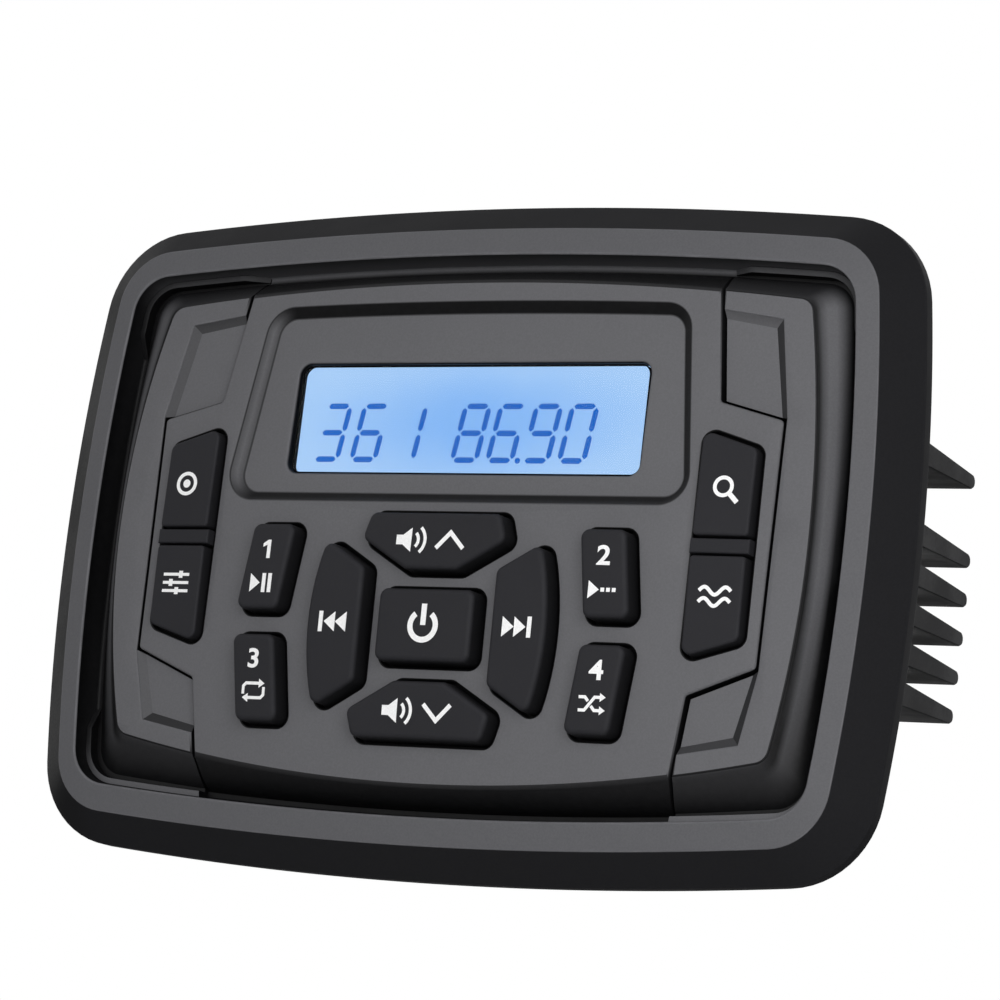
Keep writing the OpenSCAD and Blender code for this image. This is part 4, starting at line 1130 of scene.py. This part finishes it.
SEARCH = [hoop(-0.45, 0.4, 1.45), stroke([(0.7, -0.75), (2.1, -2.15)], 0.8)]
WAVES = [wave(0.9), wave(-0.9)]
FIGURE_ONE = [([(-0.05, -1.55), (0.62, -1.55), (0.62, 1.55), (0.1, 1.55),
                (-0.85, 0.95), (-0.85, 0.35), (-0.05, 0.72)],)]
SIGNS = {
    "power": [(POWER, 0, -16.4)],
    "volume_up": [(SPEAKER, -3.7, -2.6), (chevron(1), 3.4, -2.65)],
    "volume_down": [(SPEAKER, -3.3, -30.6), (chevron(-1), 3.9, -30.65)],
    "previous": [(track_sign(-1), -17.1, -16.4)],
    "next": [(track_sign(1), 17.1, -16.4)],
    "preset_1": [(PLAY_PAUSE, -31.9, -10.2), (FIGURE_ONE, -31.3, -4.5)],
    "preset_2": [(SCAN, 31.3, -10.0)],
    "preset_3": [(LOOP, -31.2, -28.2)],
    "preset_4": [(MIXED, 31.5, -28.2)],
    "left_upper": [(PICK, -50.4, 7.0)],
    "left_lower": [(SLIDERS, -50.1, -10.1)],
    "right_upper": [(SEARCH, 50.25, 7.1)],
    "right_lower": [(WAVES, 50.2, -10.2)],
}
DIGITS = {"preset_2": ("2", 31.3, -4.6), "preset_3": ("3", -31.7, -23.0), "preset_4": ("4", 31.9, -23.0)}
DIGIT_SIZE = 3.1 * 1.36


def digit(body, x, z):
    """A bold digit on the key's face, from the plain built-in letters."""
    text = bpy.data.curves.new("digit", "FONT")
    text.body = body
    text.size = DIGIT_SIZE * MM
    text.offset = 0.0001
    text.align_x = "CENTER"
    text.align_y = "CENTER"
    text.extrude = 0.00003
    holder = linked("digit", text)
    mesh = plain_mesh(holder)
    bpy.data.objects.remove(holder)
    upright = Matrix.Rotation(math.pi / 2, 4, "X") @ Matrix.Diagonal((1.18, 1.04, 1.0, 1.0))
    mesh.transform(Matrix.Translation((x * MM, -KEY_TOP * MM, z * MM)) @ upright)
    for v in mesh.vertices:
        v.co.y -= swell(v.co.x / MM, KEY_TOP, v.co.z / MM) * MM
    return mesh


def make_sign(name):
    s = Shell(domed=True)
    low, high = key_top(name) - 0.08, key_top(name) + 0.03
    for marks, x, z in SIGNS[name]:
        for mark in marks:
            outline, *holes = [moved(line, x, z) for line in mark]
            s.prism(outline, low, high, holes)
    if name in DIGITS:
        s.mesh.from_mesh(digit(*DIGITS[name]))
        for face in s.mesh.faces:
            face.material_index = 0
    place(s.piece("sign_" + name, PRINT), None, body="key_" + name + "_body")


# Display: clear lens with its black border, lit glass and the segments on it

def make_lens():
    s = Shell()
    path = profile([(0.4, LENS_BACK + 1.2), (0.18, LENS_BACK + 1.2), (0.18, LENS), (0.4, LENS)], [0, 0.12])
    border = dict.fromkeys(range(len(path)), 1)
    s.cap(s.sweep(window_outline, path, border))
    flange = ((-1.5, LENS_BACK), (-1.5, RECESS_BACK), (0.02, RECESS_BACK), (0.02, LENS_BACK))
    s.sweep(window_outline, [(d, h, 0) for d, h in (*flange, flange[0])], border)
    place(s.piece("window_lens", CLEAR, FRAME), "clear_lens", "display_lens")


SEGMENTS = {"0": "abcdef", "1": "bc", "3": "abgcd", "6": "acdefg", "8": "abcdefg", "9": "abcdfg"}
SEGMENT_GAP = 0.26


def segment_bars(x, z, w, h, t, lean):
    """The seven bars of one digit, each with pointed ends."""
    r, half = t / 2, h / 2

    def pointed(a, b):
        a, b = a + SEGMENT_GAP, b - SEGMENT_GAP
        return [(a, 0), (a + r, -r), (b - r, -r), (b, 0), (b - r, r), (a + r, r)]

    def across(level):
        return [(u, level + v) for u, v in pointed(x - w / 2 + r, x + w / 2 - r)]

    def upright(side, low):
        return [(x + side * (w / 2 - r) - v, u) for u, v in pointed(low, low + half - r)]

    foot = z - half + r
    bars = {"a": across(z + half - r), "g": across(z), "d": across(foot),
            "b": upright(1, z), "c": upright(1, foot), "f": upright(-1, z), "e": upright(-1, foot)}
    return {k: [(px + (pz - z) * lean, pz) for px, pz in line] for k, line in bars.items()}


def make_segments():
    s = Shell()
    marks = [circle(9.2, 12.8, 0.5, 16)]
    for text, start, pitch in (("361", -26.7, 7.3), ("8690", -0.1, 6.65)):
        for i, mark in enumerate(text):
            bars = segment_bars(start + i * pitch, 17.4, 5.4, 10.1, 0.95, 0.15)
            marks += [bars[name] for name in SEGMENTS[mark]]
    for mark in marks:
        s.prism(mark, LENS_BACK - 0.02, LENS_BACK + 0.05)
    place(s.piece("glass_segments", SEGMENT), "display_glass")


# Rear: chassis, heat sink, glands and screws

CASE = rectangle(2 * HALF_WIDTH, 53, 0, -0.5)
SEATS = [(x, z, bore + GLAND_WALL) for x, z, bore in GLANDS.values()]


def make_case(path, holes, front, back):
    """A block of the case's outline along a path, with round holes from its front plate to its back plate."""
    s = Shell()
    body = s.sweep(lambda d: softened(CASE, 4, d), path)
    s.cap(body, *[s.turned(x, z, ((r, front), (r, back))) for x, z, r in holes])
    return s


def make_chassis():
    floor = CHASSIS_BACK + 2
    path = profile([(2.0, floor), (2.0, CHASSIS), (0, CHASSIS), (0, CHASSIS_BACK), (3.0, CHASSIS_BACK)],
                   [0, 0.3, 0.45])[:-1]
    s = make_case(path, SEATS, floor, CHASSIS_BACK)
    for x, z in CHASSIS_SCREWS:
        s.tube(x, z, SCREW_BORE, 3.5, CHASSIS_BACK + 1, CHASSIS)
    for x, z in BOARD_SCREWS:
        s.tube(x, z, SCREW_BORE, 3.0, CHASSIS_BACK + 1, -7.6)
    place(s.piece("rear_tub", PAINT), "chassis_paint", "rear_chassis")


def fin_section(length, soft=0.0):
    """A fin's outline as (across, distance from the base), foot to foot; soft makes it a little smaller."""
    tip = 1.15
    half = [(3.35, 0.0), (2.8, 0.22), (2.48, 0.6), (2.3, 1.05), (2.2, 1.6)]
    half += [(2.2 - 1.0 * t, 1.6 + (length - tip - 1.6) * t) for t in (0.25, 0.5, 0.75, 1.0)]
    for a in map(math.radians, (22, 45, 67, 90)):
        half.append((tip * math.cos(a), length - tip + tip * math.sin(a)))
    line = half + [(-z, y) for z, y in reversed(half[:-1])]
    return [(z * (1 - soft / 4), y - soft * min(1.0, y / 4)) for z, y in line]


def fin_run(s, z0, length, start_at, end_at, root=0.0):
    """A closed length of fin; start_at and end_at give the end's x for each height across the sink."""
    soft = 0.35
    plain, small = fin_section(length), fin_section(length, soft)
    rows = []
    for section, end, shift, wear_and_highlight in ((small, start_at, 0.0, 0.0), (plain, start_at, soft, 1.0),
                                      (plain, end_at, -soft, 1.0), (small, end_at, 0.0, 0.0)):
        rows.append([s.point(end(z0 + z) + shift, -root - y, z0 + z, wear_and_highlight) for z, y in section])
    for row in s.skin(rows):
        s.face(row)


def repeat_tree(name, **inputs):
    """A new geometry tree with the given inputs, each with its kind."""
    tree = bpy.data.node_groups.new(name, "GeometryNodeTree")
    for label, kind in inputs.items():
        tree.interface.new_socket(label, in_out="INPUT", socket_type="NodeSocket" + kind)
    tree.interface.new_socket("Geometry", in_out="OUTPUT", socket_type="NodeSocketGeometry")
    return tree, tree.nodes.new("NodeGroupInput").outputs


def finish_tree(tree, copies, finish):
    """Ends a tree in plain geometry with its material."""
    real = node(tree, "GeometryNodeRealizeInstances", Geometry=copies.outputs[0])
    coat = node(tree, "GeometryNodeSetMaterial", Geometry=real.outputs[0], Material=finish)
    node(tree, "NodeGroupOutput", Geometry=coat.outputs[0])
    return tree


def fin_row_tree():
    """Copies a fin up the heat sink at an even pitch, each one shorter the further it is from the middle."""
    tree, given = repeat_tree("fin_row", Fin="Object", Count="Int", Pitch="Float", First="Float",
                              Depth="Float", Loss="Float", Finish="Material")
    index = tree.nodes.new("GeometryNodeInputIndex").outputs[0]
    rise = math_node(tree, "ADD", math_node(tree, "MULTIPLY", index, given["Pitch"]), given["First"])
    spot = node(tree, "ShaderNodeCombineXYZ", Y=given["Depth"], Z=rise)
    points = node(tree, "GeometryNodePoints", Count=given["Count"], Position=spot.outputs[0])
    away = math_node(tree, "SUBTRACT", index, 3.0)
    shrink = math_node(tree, "MULTIPLY", math_node(tree, "MULTIPLY", away, away), given["Loss"])
    size = node(tree, "ShaderNodeCombineXYZ", X=1.0, Y=math_node(tree, "SUBTRACT", 1.0, shrink), Z=1.0)
    fin = node(tree, "GeometryNodeObjectInfo", Object=given["Fin"])
    copies = node(tree, "GeometryNodeInstanceOnPoints", Points=points.outputs[0],
                  Instance=fin.outputs["Geometry"], Scale=size.outputs[0])
    return finish_tree(tree, copies, given["Finish"])


def screw_row_tree():
    """Sets one screw on every point of a mesh."""
    tree, given = repeat_tree("screw_row", Places="Geometry", Screw="Object", Turn="Float", Finish="Material")
    screw = node(tree, "GeometryNodeObjectInfo", Object=given["Screw"])
    index = tree.nodes.new("GeometryNodeInputIndex").outputs[0]
    turn = node(tree, "ShaderNodeCombineXYZ", Y=math_node(tree, "MULTIPLY", index, given["Turn"]))
    copies = node(tree, "GeometryNodeInstanceOnPoints", Points=given["Places"],
                  Instance=screw.outputs["Geometry"], Rotation=turn.outputs[0])
    return finish_tree(tree, copies, given["Finish"])


def grown(name, tree, places=(), **inputs):
    """The result of a geometry tree as a plain mesh object."""
    data = bpy.data.meshes.new(name)
    data.from_pydata(places, [], [])
    obj = linked(name, data)
    maker = obj.modifiers.new("maker", "NODES")
    maker.node_group = tree
    for item in tree.interface.items_tree:
        if item.item_type == "SOCKET" and item.in_out == "INPUT" and item.name in inputs:
            maker[item.identifier] = inputs[item.name]
    return flattened(obj)


def make_heat_sink():
    path = profile([(3.0, CHASSIS_BACK), (0, CHASSIS_BACK), (0, SINK_BACK), (3.0, SINK_BACK)],
                   [0.35, 0.5])[1:-1]
    s = make_case(path, SEATS + [(x, z, SCREW_HOLE) for x, z in SINK_SCREWS], CHASSIS_BACK, SINK_BACK)
    place(s.piece("sink_plate", ALUMINIUM), "black_aluminium", "heat_sink")

    def flush(x):
        return lambda z: x

    pattern = Shell()
    fin_run(pattern, 0.0, FIN_LENGTH, flush(-HALF_WIDTH), flush(HALF_WIDTH))
    fin = pattern.piece("fin_pattern", ALUMINIUM)
    row = grown("sink_fins", fin_row_tree(), Fin=fin, Count=4, Pitch=FIN_PITCH * MM,
                First=(FIN_MIDDLE - 3 * FIN_PITCH) * MM, Depth=-SINK_BACK * MM, Loss=FIN_LOSS / FIN_LENGTH,
                Finish=ALUMINIUM)
    bpy.data.objects.remove(fin)
    place(row, "black_aluminium")
    (left, level, _), (right, _, _) = GLANDS.values()

    def notch(x, sign):
        return lambda z: x + sign * math.sqrt(max(0.0, CLEARING ** 2 - (z - level) ** 2))

    cut = Shell()
    for k in (1, 3):
        for start, end in ((flush(-HALF_WIDTH), notch(left, -1)), (notch(left, 1), notch(right, -1)),
                           (notch(right, 1), flush(HALF_WIDTH))):
            fin_run(cut, FIN_MIDDLE + FIN_PITCH * k, FIN_LENGTH - FIN_LOSS * k * k, start, end, -SINK_BACK)
    place(cut.piece("sink_notched_fins", ALUMINIUM), "black_aluminium")


def make_gland(name):
    x, z, bore = GLANDS[name]
    body, collar = bore + 1.6, bore + 3.2
    s = Shell()
    path = [(bore, -23.3), (bore + 0.3, -23.6), (body - 0.5, -23.6), (body, -23.3), (body + 0.25, -22.9, 1.0),
            (collar - 0.4, -22.0, 1.0), (collar, -21.6), (collar, -20.5), (body, -20.5), (body, -14.5),
            (collar, -14.5), (collar - 0.3, -14.0), (body, -13.1), (bore + 0.2, -13.1), (bore, -13.3),
            (bore + 0.25, -15.5), (bore, -17.5), (bore + 0.25, -19.5), (bore, -21.5), (bore, -23.3)]
    s.turned(x, z, path, 40)
    place(s.piece(name + "_sleeve", SEAL), "seal_rubber", name)


def screw_pattern(name, pan):
    """A screw with a cross recess, its head towards -Y and its seat at the origin."""
    s = Shell()
    arm, slim, depth = 1.45, 0.36, 0.95
    cross = [(slim, slim), (slim, arm), (-slim, arm)]
    for _ in range(3):
        cross += [(-z, x) for x, z in cross[-3:]]
    top = 1.75 if pan else -0.02
    if pan:
        path = [(1.5, -8.0), (1.5, 0.0), (2.7, 0.0), (2.8, 0.12), (2.8, 0.5), (2.68, 1.0), (2.4, 1.4),
                (1.95, 1.66, 1.0)]
    else:
        path = [(1.2, -6.8), (1.5, -6.4), (1.5, -1.82), (2.72, -0.1, 1.0)]
    end, head = s.turned(0, 0, path + [(1.7 if pan else 2.66, top)], 32)
    mouth, foot = s.skin([s.ring(cross, top), s.ring([(x * 0.8, z * 0.8) for x, z in cross], top - depth)])
    s.fill(foot)
    s.fill(head, mouth)
    s.fill(end)
    return s.piece(name, STEEL)


def make_screws():
    tree = screw_row_tree()
    rows = (("heat_sink_screws", True, SINK_SCREWS, SINK_BACK, True),
            ("main_board_screws", True, BOARD_SCREWS, -6.0, False),
            ("panel_screws", False, PANEL_SCREWS, 0.0, True),
            ("chassis_screws", False, CHASSIS_SCREWS, FLOOR, False))
    for node_name, pan, places, height, behind in rows:
        screw = screw_pattern(node_name + "_pattern", pan)
        if behind:
            screw.data.transform(Matrix.Rotation(math.pi, 4, "X"))
        points = [(x * MM, -height * MM, z * MM) for x, z in places]
        made = grown(node_name + "_set", tree, points, Screw=screw, Turn=0.7, Finish=STEEL)
        bpy.data.objects.remove(screw)
        place(made, "steel", node_name)


make_bezel()
make_panel()
make_trim("left_cover", -1, "left_trim")
make_trim("right_cover", 1, "right_trim")
for key, (line, radii) in KEYS.items():
    make_key(key, line, radii)
    make_sign(key)
make_mat()
make_lens()
make_segments()
make_chassis()
make_heat_sink()
for gland in GLANDS:
    make_gland(gland)
make_screws()

# Finishes of the solids that are shown as they are
KEPT = {"display_glass": GLOW, "display_backlight": GUIDE, "contact_domes": BRASS, "front_board": CIRCUIT,
        "main_board": CIRCUIT, "stacking_connector": BLOCK, "amplifier_chip": BLOCK, "tuner_module": TINNED,
        "filter_capacitors": SLEEVE, "chassis_seal": SEAL, "flange_gasket": SEAL}
for name, material in KEPT.items():
    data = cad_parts[name].data
    data.materials.clear()
    data.materials.append(material)


# Stage: pale floor, white surroundings and soft lamps

def lamp(name, place_at, target, size, power, spread=180.0):
    """A rectangular lamp that faces a target, with its spread in degrees."""
    light = bpy.data.lights.new(name, "AREA")
    light.shape = "RECTANGLE"
    light.size, light.size_y = size
    light.spread = math.radians(spread)
    light.energy = power
    obj = linked(name, light)
    obj.location = place_at
    obj.rotation_euler = (Vector(target) - Vector(place_at)).to_track_quat("-Z", "Y").to_euler()


def make_floor():
    data = bpy.data.meshes.new("floor")
    data.from_pydata([(-3, -3, -0.26), (3, -3, -0.26), (3, 3, -0.26), (-3, 3, -0.26)], [], [(0, 1, 2, 3)])
    obj = linked("floor", data)
    f = Finish("pale_floor")
    clouds = f.group(MARKS, Scale=6.0)["Clouds"]
    f.set(Base_Color=f.mix(clouds, (0.86, 0.86, 0.86, 1.0), (0.88, 0.88, 0.88, 1.0)), Roughness=0.8,
          Specular_IOR_Level=0.1)
    data.materials.append(f.material)


def make_world():
    world = bpy.data.worlds.new("studio")
    bpy.context.scene.world = world
    world.use_nodes = True
    tree = world.node_tree
    tree.nodes.clear()
    soft, white = (node(tree, "ShaderNodeBackground", Color=(1, 1, 1, 1), Strength=k) for k in (0.16, 1.0))
    path = tree.nodes.new("ShaderNodeLightPath").outputs
    seen = math_node(tree, "MAXIMUM", path["Is Camera Ray"], path["Is Glossy Ray"])
    seen = math_node(tree, "MAXIMUM", seen, path["Is Transmission Ray"])
    mix = tree.nodes.new("ShaderNodeMixShader")
    for value, socket in zip((seen, soft.outputs[0], white.outputs[0]), mix.inputs):
        tree.links.new(value, socket)
    node(tree, "ShaderNodeOutputWorld", Surface=mix.outputs[0])


def make_camera():
    """The camera at the photograph's angle: to the right of the front and below it."""
    turns = (("Y", 28.83), ("X", -10.91), ("Z", 6.68))
    yaw, pitch, roll = (Matrix.Rotation(math.radians(a), 3, axis) for axis, a in turns)
    facing = Matrix(((1, 0, 0), (0, 0, -1), (0, 1, 0)))
    turn = roll @ pitch @ yaw @ facing
    shift = Vector((-8.27, 5.97, 653.92))
    at = (-(turn.transposed() @ shift) - Vector((-0.6, 10.0, 1.0))) * MM
    axes = Matrix((turn[0], -turn[1], -turn[2])).transposed()
    data = bpy.data.cameras.new("camera")
    data.lens = 144
    data.sensor_width = 36
    data.clip_start = 0.01
    obj = linked("camera", data)
    obj.matrix_world = Matrix.Translation(at) @ axes.to_4x4()
    bpy.context.scene.camera = obj


make_floor()
make_world()
make_camera()
lamp("key_light", (0.20, -0.30, 0.03), (0.0, 0, 0), (0.3, 0.3), 0.88)
lamp("front_fill", (-0.35, -1.4, 0.15), (0, 0, 0), (1.0, 0.8), 5.0)
lamp("rear_fill", (-0.6, 1.0, 0.4), (0, 0.02, 0), (0.25, 0.2), 0.5, 12.0)

bpy.context.scene.view_settings.view_transform = "Standard"
